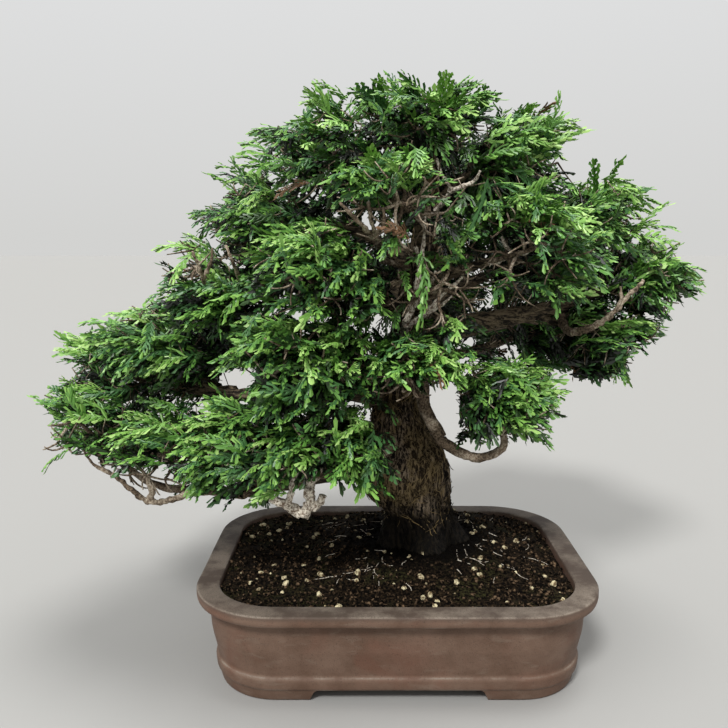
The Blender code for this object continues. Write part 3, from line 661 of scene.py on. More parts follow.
trunk_line = smooth_line([(x, y, z, radius) for z, x, y, radius in TRUNK_SECTIONS], TRUNK_STEP)
trunk_rings = []
for x, y, z, radius in [trunk_line[0] - (0, 0, TRUNK_SUNK, 0), *trunk_line]:
    fade = ROOT_RIDGE_SHARE * math.exp(min(TRUNK_SECTIONS[0][0] - z, 0.0) / ROOT_RIDGE_FADE)
    ring = []
    for angle in np.arange(TRUNK_SIDES) * 2 * np.pi / TRUNK_SIDES:
        reach = radius * (1 + fade * math.cos(ROOT_RIDGES * angle + ROOT_RIDGE_TURN))
        twisted = angle + BARK_TWIST * z
        out = Vector((math.cos(twisted), math.sin(twisted), 0.0)) * reach
        scale = min(1.0, radius / FULL_RELIEF_RADIUS)
        reach += bark_relief(Vector((x, y, z)) + out, out, z, scale)
        ring.append(from_foot(x + reach * math.cos(angle), y + reach * math.sin(angle), z))
    trunk_rings.append(np.array(ring))
trunk = add_object("trunk_bark", mesh_of("trunk_bark", *closed_loft(trunk_rings)))
trunk.data.shade_smooth()

# Peeling cypress bark: dark brown crossed fibres with paler torn ends and golden patches of
# painted light, dull and dry. Damp from the soil makes its foot nearly black.
FIBRE_NOISE, CROSSED_NOISE, PATCH_NOISE = 2.4, 3.0, 20.0
CROSSED_TURN = math.radians(38)
DAMP_LOW, DAMP_HIGH = 92.0, 124.0
bark_finish, tree, shader = new_material("peeling_trunk_bark", 0.88, 0.12)
place = add(tree, "ShaderNodeTexCoord").outputs["Object"]
height = add(tree, "ShaderNodeSeparateXYZ", {0: place}).outputs["Z"]
drawn = add(tree, "ShaderNodeMapping", {"Vector": place, "Scale": (1.0, 1.0, 0.11)}).outputs[0]
fibres = add(tree, "ShaderNodeTexNoise",
             {"Vector": drawn, "Scale": 1 / (FIBRE_NOISE * MM), "Detail": 6.0, "Roughness": 0.72,
              "Distortion": 0.9}).outputs[0]
crossed = add(tree, "ShaderNodeMapping",
              {"Vector": place, "Rotation": (0.0, CROSSED_TURN, 0.0), "Scale": (1.0, 1.0, 0.22)}).outputs[0]
crossed = add(tree, "ShaderNodeTexNoise",
              {"Vector": crossed, "Scale": 1 / (CROSSED_NOISE * MM), "Detail": 5.0, "Roughness": 0.7,
               "Distortion": 0.7}).outputs[0]
golden = add(tree, "ShaderNodeTexNoise",
             {"Vector": place, "Scale": 1 / (PATCH_NOISE * MM), "Detail": 4.0}).outputs[0]
torn = add(tree, "ShaderNodeMath", {0: fibres, 1: crossed}, operation="ADD").outputs[0]
share = add(tree, "ShaderNodeMapRange", {0: torn, 1: 0.95, 2: 1.11}).outputs[0]
patch = add(tree, "ShaderNodeMapRange", {0: golden, 1: 0.45, 2: 0.56, 4: 0.85}).outputs[0]
colour = add(tree, "ShaderNodeMix",
             {0: share, 6: linear("0f0a07"), 7: linear("8c7c68")}, data_type="RGBA").outputs[2]
# Golden patches of painted light, where even the cracks show lighter.
lit = add(tree, "ShaderNodeMix",
          {0: share, 6: linear("2a2116"), 7: linear("7d6c4b")}, data_type="RGBA").outputs[2]
colour = add(tree, "ShaderNodeMix", {0: patch, 6: colour, 7: lit}, data_type="RGBA").outputs[2]
damp = add(tree, "ShaderNodeMapRange",
           {0: height, 1: DAMP_LOW * MM, 2: DAMP_HIGH * MM, 3: 0.93, 4: 0.0}).outputs[0]
damp = add(tree, "ShaderNodeMath", {0: damp, 1: golden, 2: 0.35}, operation="MULTIPLY_ADD").outputs[0]
damp = add(tree, "ShaderNodeMapRange", {0: damp, 1: 0.36, 2: 0.66, 4: 0.95}).outputs[0]
colour = add(tree, "ShaderNodeMix", {0: damp, 6: colour, 7: linear("080706")}, data_type="RGBA").outputs[2]
bump = add(tree, "ShaderNodeBump", {"Strength": 0.95, "Distance": 1.3 * MM, "Height": torn}).outputs[0]
tree.links.new(colour, shader.inputs["Base Color"])
tree.links.new(bump, shader.inputs["Normal"])
trunk.data.materials.append(bark_finish)
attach(trunk, "root")
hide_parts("trunk")

# Peeling strips and torn fibres
# Ribbons of old bark that have come loose from the trunk but for their middles, most of them
# near upright, and single golden fibres that cross them. Each lies on the bark, ends curled.
PEEL_LOW, PEEL_TOP = 96.0, 250.0
PEEL_THICKNESS, PEEL_TAPER = 0.3, 0.7
PEEL_CURL, PEEL_LIFT, PEEL_HELD, PEEL_SEAT = (0.4, 2.6), 2.4, 0.35, 0.15
PEEL_POINTS = 7
# Of each kind: how many, their lengths and widths in mm, and their most lean in degrees.
PEEL_KINDS = {
    "peeling_strips": (280, (8.0, 24.0), (0.9, 2.6), 34),
    "torn_fibres": (340, (9.0, 26.0), (0.25, 0.5), 75),
}


def heap_up(heap):
    """Join the points and faces of many closed shapes into one list of each."""
    points, faces, first = [], [], 0
    for shape_points, shape_faces in heap:
        points.append(shape_points)
        faces += [[first + k for k in face] for face in shape_faces]
        first += len(shape_points)
    return np.vstack(points), faces


def loose_ribbon(dice, lengths, widths, tilt):
    """One ribbon that lies along the trunk's bark at a random spot, its two ends curled away."""
    z = dice.uniform(PEEL_LOW, PEEL_TOP)
    turn = dice.uniform(0, 2 * math.pi)
    tilt = math.radians(dice.uniform(-tilt, tilt))
    length = dice.uniform(*lengths)
    width = dice.uniform(*widths)
    curls = [dice.uniform(*PEEL_CURL) for _ in range(2)]
    steps = np.linspace(-1, 1, PEEL_POINTS)
    spots, outs = [], []
    for t in steps:
        row = np.searchsorted(ring_heights, z + t * length / 2 * math.cos(tilt))
        ring = trunk_rings[int(np.clip(row, 1, len(trunk_rings) - 2))]
        middle = ring.mean(axis=0)
        girth = np.linalg.norm(ring[0] - middle) / MM
        column = int((turn + t * length / 2 * math.sin(tilt) / girth) / (2 * math.pi) * TRUNK_SIDES)
        spot = ring[column % TRUNK_SIDES]
        out = unit(spot - middle)
        lift = curls[0 if t < 0 else 1] * max(abs(t) - PEEL_HELD, 0.0) ** 2 * PEEL_LIFT
        spots.append(spot + out * (PEEL_SEAT + lift) * MM)
        outs.append(out)
    spots = np.array(spots)
    ahead = unit(np.gradient(spots, axis=0))
    across = unit(np.cross(outs, ahead))
    out = np.cross(ahead, across)
    half = (width / 2 * (1 - PEEL_TAPER * np.abs(steps) ** 3) * MM)[:, None]
    deep = PEEL_THICKNESS / 2 * MM
    sides = [spots + across * half * a + out * deep * b for a, b in ((-1, -1), (1, -1), (1, 1), (-1, 1))]
    return closed_loft(list(np.stack(sides, 1)))


# Torn cypress fibre: dry and golden where it is lit, brown where it is stained.
fibre_finish = two_tone("torn_bark_fibre", 0.75, 0.3, ("241b12", "84704a"), 9.0, (0.4, 0.6), 3.0)

ring_heights = np.array([ring[0][2] for ring in trunk_rings]) / MM
for name, (count, lengths, widths, tilt) in PEEL_KINDS.items():
    dice = random.Random(name)
    heap = [loose_ribbon(dice, lengths, widths, tilt) for _ in range(count)]
    peels = add_object(name, mesh_of(name, *heap_up(heap)))
    peels.data.materials.append(fibre_finish if name == "torn_fibres" else bark_finish)
    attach(peels, "root")

# Boughs
# Living limbs that start inside the trunk, or inside a larger limb, and end in the masses of
# foliage. Their bark is thinner, paler and scaly, and swells to a collar at the root.
# Of each mass: its middle, across and back from the foot and up, and half its size, in mm.
MASSES = {
    "crown_top": ((-2, 0, 406), (74, 66, 44)),
    "crown_upper_left": ((-80, -8, 380), (58, 66, 50)),
    "crown_upper_right": ((76, 5, 382), (58, 64, 48)),
    "crown_front": ((-22, -85, 348), (60, 56, 44)),
    "crown_back": ((12, 105, 378), (66, 60, 46)),
    "shoulder_left": ((-132, 5, 338), (56, 64, 50)),
    "shoulder_right": ((138, 15, 336), (54, 64, 42)),
    "left_high": ((-170, -10, 294), (52, 62, 44)),
    "left_middle": ((-212, 0, 246), (54, 64, 40)),
    "left_tier": ((-256, 12, 216), (46, 56, 38)),
    "left_far": ((-268, -25, 178), (54, 58, 42)),
    "left_low": ((-208, -45, 162), (54, 56, 38)),
    "left_low_inner": ((-142, -65, 172), (52, 54, 42)),
    "front_low": ((-84, -92, 176), (54, 50, 40)),
    "front_left": ((-92, -90, 242), (60, 56, 46)),
    "front_middle": ((-82, -88, 298), (54, 58, 50)),
    "front_centre": ((4, -68, 290), (48, 46, 42)),
    "front_centre_low": ((-20, -96, 236), (42, 40, 28)),
    "right_low": ((56, -50, 204), (54, 50, 38)),
    "right_inner": ((72, -62, 318), (54, 58, 48)),
    "right_far": ((178, 15, 294), (54, 62, 42)),
    "right_under": ((158, 10, 248), (52, 56, 40)),
    "back_left": ((-112, 112, 318), (66, 62, 48)),
    "back_right": ((122, 112, 312), (62, 60, 46)),
    "back_centre": ((12, 128, 288), (54, 54, 44)),
    "back_left_low": ((-200, 100, 218), (60, 58, 42)),
    "back_middle_low": ((-102, 98, 204), (52, 54, 38)),
    "back_right_low": ((112, 106, 238), (54, 54, 36)),
}
# Of each bough: what carries it, how far along that, the points it passes, and its end radii.
BOUGHS = {
    "left_middle": ("trunk", 0.38, ((-98, -14, 207), (-157, -14, 203)), 8.5, 4.0),
    "left_high": ("left_middle", 0.45, ((-128, -13, 232), (-146, -12, 258)), 4.6, 2.6),
    "left_tier": ("left_middle", 0.75, ((-205, 2, 206), (-228, 8, 210)), 4.2, 2.4),
    "left_low": ("trunk", 0.22, ((-80, -34, 142), (-148, -48, 132)), 8.0, 3.6),
    "left_far": ("left_low", 0.74, ((-200, -42, 134), (-232, -36, 148)), 3.8, 2.2),
    "left_low_inner": ("left_low", 0.47, ((-128, -56, 142),), 4.0, 2.4),
    "front_low": ("trunk", 0.27, ((-46, -54, 158),), 5.5, 3.0),
    "front_left": ("trunk", 0.47, ((-48, -46, 232),), 5.5, 3.0),
    "front_middle": ("trunk", 0.58, ((-38, -42, 280),), 5.0, 2.8),
    "front_centre": ("trunk", 0.52, ((-14, -26, 262),), 4.8, 2.8),
    "front_centre_low": ("trunk", 0.43, ((-24, -48, 226),), 4.6, 2.6),
    "right_low_drop": ("trunk", 0.47, ((-6, -40, 228), (-2, -52, 200), (10, -55, 178)), 6.0, 4.6),
    "right_low": ("right_low_drop", 1.0, ((36, -57, 163), (56, -57, 170)), 4.6, 2.8),
    "right_far": ("trunk", 0.53, ((58, 6, 260), (108, 12, 270)), 12.0, 4.0),
    "right_under": ("right_far", 0.55, ((118, 12, 256),), 4.0, 2.4),
    "right_inner": ("trunk", 0.64, ((26, -30, 302),), 5.0, 2.8),
    "shoulder_right": ("trunk", 0.69, ((38, 6, 330), (84, 12, 344)), 5.8, 3.0),
    "shoulder_left": ("trunk", 0.70, ((-56, 6, 332),), 5.6, 3.0),
    "crown_upper_left": ("trunk", 0.82, ((-28, -2, 372),), 4.4, 2.6),
    "crown_upper_right": ("trunk", 0.83, ((32, 3, 374),), 4.4, 2.6),
    "crown_front": ("trunk", 0.75, ((-8, -34, 340),), 4.6, 2.6),
    "crown_back": ("trunk", 0.80, ((6, 42, 362),), 5.0, 2.8),
    "back_left": ("trunk", 0.62, ((-40, 48, 296),), 6.0, 3.0),
    "back_right": ("trunk", 0.60, ((48, 50, 290),), 6.0, 3.0),
    "back_centre": ("trunk", 0.54, ((0, 54, 264),), 5.4, 2.8),
    "back_left_low": ("trunk", 0.42, ((-84, 44, 214), (-142, 76, 212)), 6.8, 3.2),
    "back_middle_low": ("trunk", 0.34, ((-58, 42, 192),), 5.4, 2.8),
    "back_right_low": ("trunk", 0.45, ((46, 50, 228),), 6.0, 3.0),
}
BOUGH_STEP = 34.0
BOUGH_STOP, BOUGH_STOP_MARGIN, BOUGH_STOP_STEPS = 0.62, 5.0, 100
BOUGH_SIDES = 16
BOUGH_FINE_STEP = 2.5
BOUGH_RELIEF = 0.34
COLLAR_SWELL, COLLAR_RUN = 0.45, 12.0
TRUNK_COVER = (30.0, 5.0)
TUBE_SIDE = (0.31, 0.17, 0.93)
STEM_RUN = 5.0
GAP = 0.3


class Space:
    """The space one mass keeps to: its rounded form, cut by flat faces to its neighbours."""

    def __init__(self, name):
        centre, half = MASSES[name]
        self.centre = from_foot(*centre)
        self.half = np.array(half) * MM
        own = self.half.mean()
        normals, offsets = [], []
        for other_name, (other_centre, other_half) in MASSES.items():
            if other_name != name:
                away = from_foot(*other_centre) - self.centre
                length = np.linalg.norm(away)
                other = np.mean(other_half) * MM
                normals.append(away / length)
                offsets.append((length * length + own * own - other * other) / (2 * length))
        self.normals, self.offsets = np.array(normals), np.array(offsets)

    def inside(self, points, proud, margin):
        """Which points lie inside, the rounded form scaled by a share, the faces set in."""
        out = np.atleast_2d(points) - self.centre
        near = ((out / self.half) ** 2).sum(-1) <= proud * proud
        return near & (out @ self.normals.T <= self.offsets - margin * MM).all(-1)


def bough_tip(space, last):
    """Where a bough from its last bend enters its mass."""
    shares = np.arange(BOUGH_STOP_STEPS)[:, None] / BOUGH_STOP_STEPS
    run = space.centre + (last - space.centre) * shares
    stays = space.inside(run, BOUGH_STOP, BOUGH_STOP_MARGIN)
    return run[max(int(np.argmin(stays)) - 1, 0)]


def points_along(line, places):
    """Points along a line, each place counted in the line's own points."""
    low = np.asarray(places).astype(int).clip(0, len(line) - 2)
    return line[low] + (line[low + 1] - line[low]) * (places - low)[..., None]


def limb_controls(spaces):
    """The points that each limb's curve passes, and the limbs' coarse lines and radii."""
    trunk_points = np.array([from_foot(x, y, z) for z, x, y, _ in TRUNK_SECTIONS])
    heights = trunk_points[:, 2]
    controls = {}
    lines = {"trunk": (trunk_points, np.array([row[3] for row in TRUNK_SECTIONS]) * MM)}
    for name, (parent, place, passes, root, tip) in BOUGHS.items():
        parent_line = lines[parent][0]
        if place == 1.0:
            ahead = unit(parent_line[-1] - parent_line[-2])
            points = [parent_line[-1] - ahead * GAP * MM, parent_line[-1] + ahead * STEM_RUN * MM]
        elif parent == "trunk":
            level = heights[0] + place * (heights[-1] - heights[0])
            points = [np.array([np.interp(level, heights, trunk_points[:, k]) for k in range(3)])]
        else:
            points = [points_along(parent_line, place * (len(parent_line) - 1))]
        points += [from_foot(*spot) for spot in passes]
        if name in MASSES:
            points.append(bough_tip(spaces[name], points[-1]))
        controls[name] = points
        line = smooth_line(points, BOUGH_STEP * MM)
        lines[name] = (line, np.linspace(root, tip, len(line)) * MM)
    return controls, lines


def tube(line, radii, sides):
    """Rings square to a line, turned as little as they can be from one to the next."""
    ahead = unit(np.gradient(line, axis=0))
    side = unit(np.cross(ahead[0], TUBE_SIDE))
    angles = (np.arange(sides) * 2 * np.pi / sides)[:, None]
    rings = []
    for point, direction, radius in zip(line, ahead, radii):
        side = unit(side - direction * (side @ direction))
        other = np.cross(direction, side)
        rings.append(point + (side * np.cos(angles) + other * np.sin(angles)) * np.reshape(radius, (-1, 1)))
    return rings


spaces = {name: Space(name) for name in MASSES}
controls, limbs = limb_controls(spaces)
bough_heap = []
for name, (parent, place, _, root, tip) in BOUGHS.items():
    line = smooth_line(controls[name], BOUGH_FINE_STEP * MM)
    run = np.concatenate([[0], np.cumsum(np.linalg.norm(np.diff(line, axis=0), axis=1))]) / MM
    radii = root + (tip - root) * run / run[-1]
    if place < 1.0:
        cover = np.interp(place, (0, 1), TRUNK_COVER) if parent == "trunk" else BOUGHS[parent][3]
        radii *= 1 + COLLAR_SWELL * np.exp(-np.maximum(run - cover, 0) / COLLAR_RUN)
    rings = []
    for k, (centre, ring) in enumerate(zip(line, tube(line, radii * MM, BOUGH_SIDES))):
        out = unit(ring - centre)
        reach = np.array([
            bark_relief(Vector(spot) / MM, Vector(direction) * radii[k], run[k], BOUGH_RELIEF)
            for spot, direction in zip(ring, out)
        ])
        rings.append(ring + out * reach[:, None] * MM)
    bough_heap.append(closed_loft(rings))
boughs = add_object("bough_bark", mesh_of("bough_bark", *heap_up(bough_heap)))
boughs.data.shade_smooth()

# Bark of hinoki limbs. On old ones it lies in dark brown cracked layers. On young ones and on
# twigs it is thin, dry and scaly, pale grey-tan where it is lit and red-brown in its cracks.
PALE_BOUGHS = ("right_low_drop", "right_low", "front_low", "left_far")
LAYER_NOISE, SCALE_NOISE, TWIG_PATCH = 2.6, 1.6, 16.0
old_bough_finish = two_tone("layered_bough_bark", 0.82, 0.3, ("1c1610", "7f7059"), LAYER_NOISE, (0.44, 0.58),
                            6.0, grit=0.72, warp=0.8, drawn=(0.3, 0.3, 1.0), relief=(0.95, 1.2))
twig_finish, tree, shader = new_material("scaly_twig_bark", 0.85, 0.3)
place = add(tree, "ShaderNodeTexCoord").outputs["Object"]
scales = add(tree, "ShaderNodeTexNoise",
             {"Vector": place, "Scale": 1 / (SCALE_NOISE * MM), "Detail": 5.0, "Roughness": 0.7}).outputs[0]
patch = add(tree, "ShaderNodeTexNoise",
            {"Vector": place, "Scale": 1 / (TWIG_PATCH * MM), "Detail": 3.0}).outputs[0]
share = add(tree, "ShaderNodeMapRange", {0: scales, 1: 0.4, 2: 0.62}).outputs[0]
patch = add(tree, "ShaderNodeMapRange", {0: patch, 1: 0.46, 2: 0.6}).outputs[0]
colour = add(tree, "ShaderNodeMix",
             {0: share, 6: linear("2e241b"), 7: linear("7f6e5a")}, data_type="RGBA").outputs[2]
pale = add(tree, "ShaderNodeMix",
           {0: share, 6: linear("6b5745"), 7: linear("c3b7a2")}, data_type="RGBA").outputs[2]
colour = add(tree, "ShaderNodeMix", {0: patch, 6: colour, 7: pale}, data_type="RGBA").outputs[2]
bump = add(tree, "ShaderNodeBump", {"Strength": 0.8, "Distance": 0.6 * MM, "Height": scales}).outputs[0]
tree.links.new(colour, shader.inputs["Base Color"])
tree.links.new(bump, shader.inputs["Normal"])
boughs.data.materials.append(old_bough_finish)
boughs.data.materials.append(twig_finish)
looks = np.repeat([name in PALE_BOUGHS for name in BOUGHS], [len(faces) for _, faces in bough_heap])
boughs.data.polygons.foreach_set("material_index", looks.astype(np.int32))
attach(boughs, "root")
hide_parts(*[name + "_bough" for name in BOUGHS])

# Twigs
# Each mass grows on from its bough's tip: a stem through its middle, side twigs, and shoots
# that fork from them all round. Gaps where the crown is open stay free of them.
STEM_RADII, STEM_SIDES, STEM_STEP = (2.4, 1.3), 8, 6.0
STEM_BEYOND, STEM_PROUD, STEM_HELD = 0.35, 0.9, 3
# Of twigs, then of shoots: how many, how far out they aim, their radii and their sides.
TWIGS_AND_SHOOTS = ((12, 0.52, (1.5, 0.9), 6), (52, 0.78, (0.9, 0.45), 4))
TWIG_UNEVEN = (0.85, 1.12)
TWIG_TRIES = (1.0, 0.8, 0.6)
TWIG_PUSH, TWIG_BEND, TWIG_POINTS = ((-1, 1), (-1, 1), (-1.4, 0.6)), 0.16, 6
TWIG_PROUD = 0.96
SHORTEST_TWIG = 7.0
SEAT_STEP = 3.0
NEAR_SHARE = 1.4
LIMB_MARGIN = 1.0
GOLDEN_ANGLE = math.radians(137.508)
# Ellipses of the photograph, in pixels: the middle across and down, and half its width and height.
SKY_GAPS = {
    "over_the_long_bough": (235, 378, 17, 11),
    "under_the_long_bough": (248, 402, 6, 4),
    "left_low_far": (83, 428, 6, 4),
    "left_low_under": (151, 464, 6, 4),
    "right_of_the_trunk": (445, 407, 14, 28),
    "left_small": (253, 302, 6, 5),
    "left_small_upper": (248, 259, 5, 4),
    "between_trunk_and_front": (357, 369, 4, 5),
    "right_upper": (487, 243, 5, 7),
    "crown_hole": (449, 186, 4, 4),
    "right_lower": (484, 339, 6, 4),
    "right_lowest": (513, 352, 9, 7),
    "under_the_left_tip": (50, 491, 62, 40),
    "under_the_left_bough": (100, 520, 60, 42),
    "under_the_middle_left": (205, 532, 66, 32),
    "beside_the_left_foot": (350, 512, 26, 26),
    "under_the_right_tip": (680, 380, 50, 48),
    "right_of_the_right_tip": (712, 320, 38, 32),
    "over_the_right_tip": (704, 254, 26, 10),
    "left_of_the_top": (270, 106, 28, 18),
    "over_the_top": (440, 52, 90, 19),
    "left_tip": (28, 426, 19, 28),
    "over_the_left_tip": (58, 368, 14, 12),
    "over_the_left_tier": (106, 304, 20, 12),
    "over_the_left_middle": (142, 274, 16, 26),
    "over_the_left_high": (206, 188, 20, 16),
    "right_of_the_top": (584, 88, 22, 18),
    "right_shoulder_gap": (580, 156, 15, 26),
    "right_tip_gap": (633, 212, 6, 6),
    "round_the_gnarl": (310, 500, 24, 18),
    "under_the_loop": (516, 471, 54, 34),
    "beside_the_loop": (581, 430, 27, 31),
}


def pixels(points):
    """Where points of the frame fall in the photograph, 728 pixels square."""
    out = np.asarray(points) - np.array(camera.location)
    deep = out[..., 1] * math.cos(CAMERA_PITCH) - out[..., 2] * math.sin(CAMERA_PITCH)
    rise = out[..., 1] * math.sin(CAMERA_PITCH) + out[..., 2] * math.cos(CAMERA_PITCH)
    middle = FRAME_PIXELS / 2
    return middle + FOCAL_PIXELS * out[..., 0] / deep, middle - FOCAL_PIXELS * rise / deep


def in_ellipses(points, ellipses):
    """Which points are seen in one of these ellipses of the photograph."""
    across, down = pixels(points)
    inside = np.zeros(across.shape, bool)
    for u, v, half_u, half_v in ellipses.values():
        inside |= ((across - u) / half_u) ** 2 + ((down - v) / half_v) ** 2 < 1
    return inside


def near_limbs(space):
    """The pieces of limb that come near a mass: their starts, ends and radii."""
    found = []
    for line, sizes in limbs.values():
        for start, end, *radii in zip(line, line[1:], sizes, sizes[1:]):
            reach = NEAR_SHARE * space.half.max() + np.linalg.norm(end - start)
            if np.linalg.norm((start + end) / 2 - space.centre) < reach:
                found.append((start, end, max(radii)))
    return [np.array(column) for column in zip(*found)]


def clear_of(near, points, margin):
    """Which points keep a margin to the pieces of limb."""
    starts, ends, radii = near
    along = ends - starts
    share = ((points[..., None, :] - starts) * along).sum(-1) / (along * along).sum(-1)
    closest = starts + np.clip(share, 0, 1)[..., None] * along
    distance = np.linalg.norm(closest - points[..., None, :], axis=-1)
    return (distance > radii + margin * MM).all(-1)


def spread(count, turn):
    """Directions spread evenly over a ball by the golden angle."""
    k = np.arange(count)
    level = 1 - 2 * (k + 0.5) / count
    flat = np.sqrt(1 - level * level)
    angle = turn + k * GOLDEN_ANGLE
    return np.stack([flat * np.cos(angle), flat * np.sin(angle), level], 1)


def bent(start, end, push):
    """A twig's line from start to end, pushed aside in its middle."""
    t = np.linspace(0, 1, TWIG_POINTS)[:, None]
    return start + (end - start) * t + push * (4 * t * (1 - t))


def grow_wood(space, tip, heading, near, dice):
    """The lines, radii and sides of a mass's stem, twigs and shoots, and where sprays can sit."""
    turn = dice.uniform(0, 2 * math.pi)
    root = tip - heading * GAP * MM
    beyond = space.centre + (space.centre - root) * STEM_BEYOND
    stem = smooth_line([root, root + heading * STEM_RUN * MM, space.centre, beyond], STEM_STEP * MM)
    keep = space.inside(stem, STEM_PROUD, 0.0)
    keep[:STEM_HELD] = True
    stem = stem[keep]
    wood = [(stem, np.linspace(*STEM_RADII, len(stem)), STEM_SIDES)]
    seats = list(stem[STEM_HELD:])
    for order, (count, reach, radii, sides) in enumerate(TWIGS_AND_SHOOTS):
        feet = np.array(seats)
        for aim in spread(count, turn + order):
            end = space.centre + aim * space.half * reach * dice.uniform(*TWIG_UNEVEN)
            foot = feet[np.argmin(np.linalg.norm(feet - end, axis=1))]
            for share in TWIG_TRIES:
                target = foot + (end - foot) * share
                length = np.linalg.norm(target - foot)
                push = np.array([dice.uniform(low, high) for low, high in TWIG_PUSH])
                line = bent(foot, target, push * length * TWIG_BEND)
                free = length > SHORTEST_TWIG * MM and not in_ellipses(line, SKY_GAPS).any()
                free = free and space.inside(line[2:], TWIG_PROUD, 0.0).all()
                if free and clear_of(near, line[2:], LIMB_MARGIN).all():
                    wood.append((line, np.linspace(*radii, len(line)), sides))
                    marks = max(2, int(length / (SEAT_STEP * MM)))
                    seats += list(points_along(line, np.linspace(1, len(line) - 1, marks)))
                    break
    return wood, np.array(seats)


# Bare forks
# Wood that has lost its foliage: bleached forks that stand out of the trunk inside the crown,
# a knotted stub under the lowest front bough, and bare limbs and twigs still in their bark.
FORK_STEP, FORK_SIDES = 1.3, 12
FORK_LUMP, FORK_RELIEF = 3.4, 0.75
# Of each: the points it passes, in millimetres from the trunk's foot, and its two end radii.
FORKS = {
    "left_prong": (((-14, -8, 250), (-18, -52, 262), (-13, -60, 278), (-9, -64, 299), (-7, -64, 309),
                    (-12, -64, 320)), 3.2, 1.2),
    "middle_prong": (((-12, -61, 281), (-9, -65, 302), (-6, -66, 322), (-5, -66, 341)), 2.3, 0.9),
    "twin_prong": (((-12, -61, 277), (-6, -63, 285), (1, -65, 296), (3, -66, 303)), 1.7, 0.8),
    "right_prong": (((-18, -54, 262), (-4, -60, 271), (5, -62, 282), (11, -64, 289), (18, -66, 294),
                     (22, -68, 299)), 2.7, 0.9),
    "outer_prong": (((-4, -60, 271), (7, -64, 278), (15, -66, 285)), 1.8, 0.8),
    "left_of_the_v": (((4, 0, 340), (15, -36, 360), (8, -40, 373), (5, -42, 383)), 2.4, 1.0),
    "right_of_the_v": (((15, -36, 360), (24, -42, 363), (32, -44, 367), (36, -46, 374)), 2.3, 1.0),
    "thicket_left": (((44, -43, 307), (60, -45, 313), (54, -50, 322), (51, -52, 330)), 2.4, 0.9),
    "thicket_right": (((60, -45, 313), (70, -48, 316), (79, -50, 320), (91, -54, 326)), 2.2, 0.9),
    "left_arm": (((-114, -100, 146), (-101, -100, 140), (-92, -100, 134)), 2.4, 4.0),
    "right_arm": (((-92, -100, 134), (-86, -100, 141), (-87, -98, 151), (-83, -92, 160), (-75, -83, 170)),
                  4.2, 2.8),
    "arm_stub": (((-87, -100, 139), (-80, -100, 142), (-77, -101, 148)), 3.6, 2.4),
    "arm_twig": (((-102, -100, 141), (-99, -100, 150), (-98, -99, 158), (-93, -95, 168)), 2.6, 1.0),
    "right_limb": (((112, 8, 262), (112, -14, 254), (118, -34, 256), (129, -44, 264), (138, -50, 273),
                    (145, -52, 283), (152, -52, 290), (157, -50, 295)), 3.4, 1.4),
    "right_limb_side": (((138, -50, 273), (140, -54, 282), (139, -54, 291)), 2.0, 0.9),
    "left_hook": (((-158, -50, 134), (-173, -64, 139), (-187, -68, 135), (-201, -68, 132), (-212, -66, 133),
                   (-221, -64, 139), (-233, -60, 148), (-246, -58, 155)), 2.8, 1.5),
    "left_hook_up": (((-209, -66, 132), (-205, -70, 141), (-208, -70, 151), (-214, -68, 158)), 2.6, 1.1),
    "left_outer": (((-240, -59, 152), (-250, -58, 157), (-255, -58, 163), (-260, -56, 171)), 1.6, 0.8),
    "crown_stem": (((-4, 2, 302), (-31, -22, 308), (-37, -60, 320), (-41, -90, 330), (-44, -100, 341),
                    (-45, -100, 350)), 3.0, 1.2),
    "crown_side": (((-41, -88, 328), (-35, -100, 335), (-35, -101, 346)), 2.0, 1.0),
    "crown_low": (((-40, -80, 326), (-48, -98, 333), (-57, -102, 342), (-64, -100, 349)), 2.2, 1.0),
    "left_twigs": (((-158, -12, 276), (-165, -42, 287), (-163, -64, 297), (-165, -72, 308), (-168, -74, 317)),
                   2.4, 0.9),
    "left_twigs_side": (((-163, -64, 297), (-156, -72, 308), (-154, -74, 319)), 1.8, 0.8),
    "high_twig": (((-148, -12, 286), (-141, -42, 295), (-140, -64, 305), (-142, -71, 313), (-145, -71, 321)),
                  2.2, 0.9),
    "hollow_twig": (((-72, -64, 286), (-96, -62, 275), (-99, -78, 285), (-100, -86, 295), (-102, -90, 303)),
                    2.2, 1.0),
}
BLEACHED_FORKS = ("left_prong", "middle_prong", "twin_prong", "right_prong", "outer_prong",
                  "left_of_the_v", "right_of_the_v", "thicket_left", "thicket_right", "left_arm",
                  "right_arm", "arm_stub", "arm_twig", "hollow_twig")
fork_heap = []
for points, root, tip in FORKS.values():
    line = smooth_line([from_foot(*point) for point in points], FORK_STEP * MM)
    radii = np.linspace(root, tip, len(line)) * MM
    rings = []
    for centre, ring, radius in zip(line, tube(line, radii, FORK_SIDES), radii):
        rough = np.array([noise.noise(Vector(spot) / (FORK_LUMP * MM)) for spot in ring])
        rings.append(ring + unit(ring - centre) * (rough * FORK_RELIEF * radius)[:, None])
    fork_heap.append(closed_loft(rings))
forks = add_object("bare_forks", mesh_of("bare_forks", *heap_up(fork_heap)))
forks.data.shade_smooth()

# Bleached wood and old scaly bark: pale silver-tan with dark cracks along it.
CRACK_SIZE = 1.8
bleached_finish = two_tone("bleached_twig_bark", 0.85, 0.3, ("6b5a4a", "e0d7c6"), CRACK_SIZE, (0.42, 0.56),
                           5.0, grit=0.7, relief=(0.9, 0.7))
forks.data.materials.append(bleached_finish)
forks.data.materials.append(twig_finish)
looks = np.repeat([name not in BLEACHED_FORKS for name in FORKS], [len(faces) for _, faces in fork_heap])
forks.data.polygons.foreach_set("material_index", looks.astype(np.int32))
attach(forks, "root")

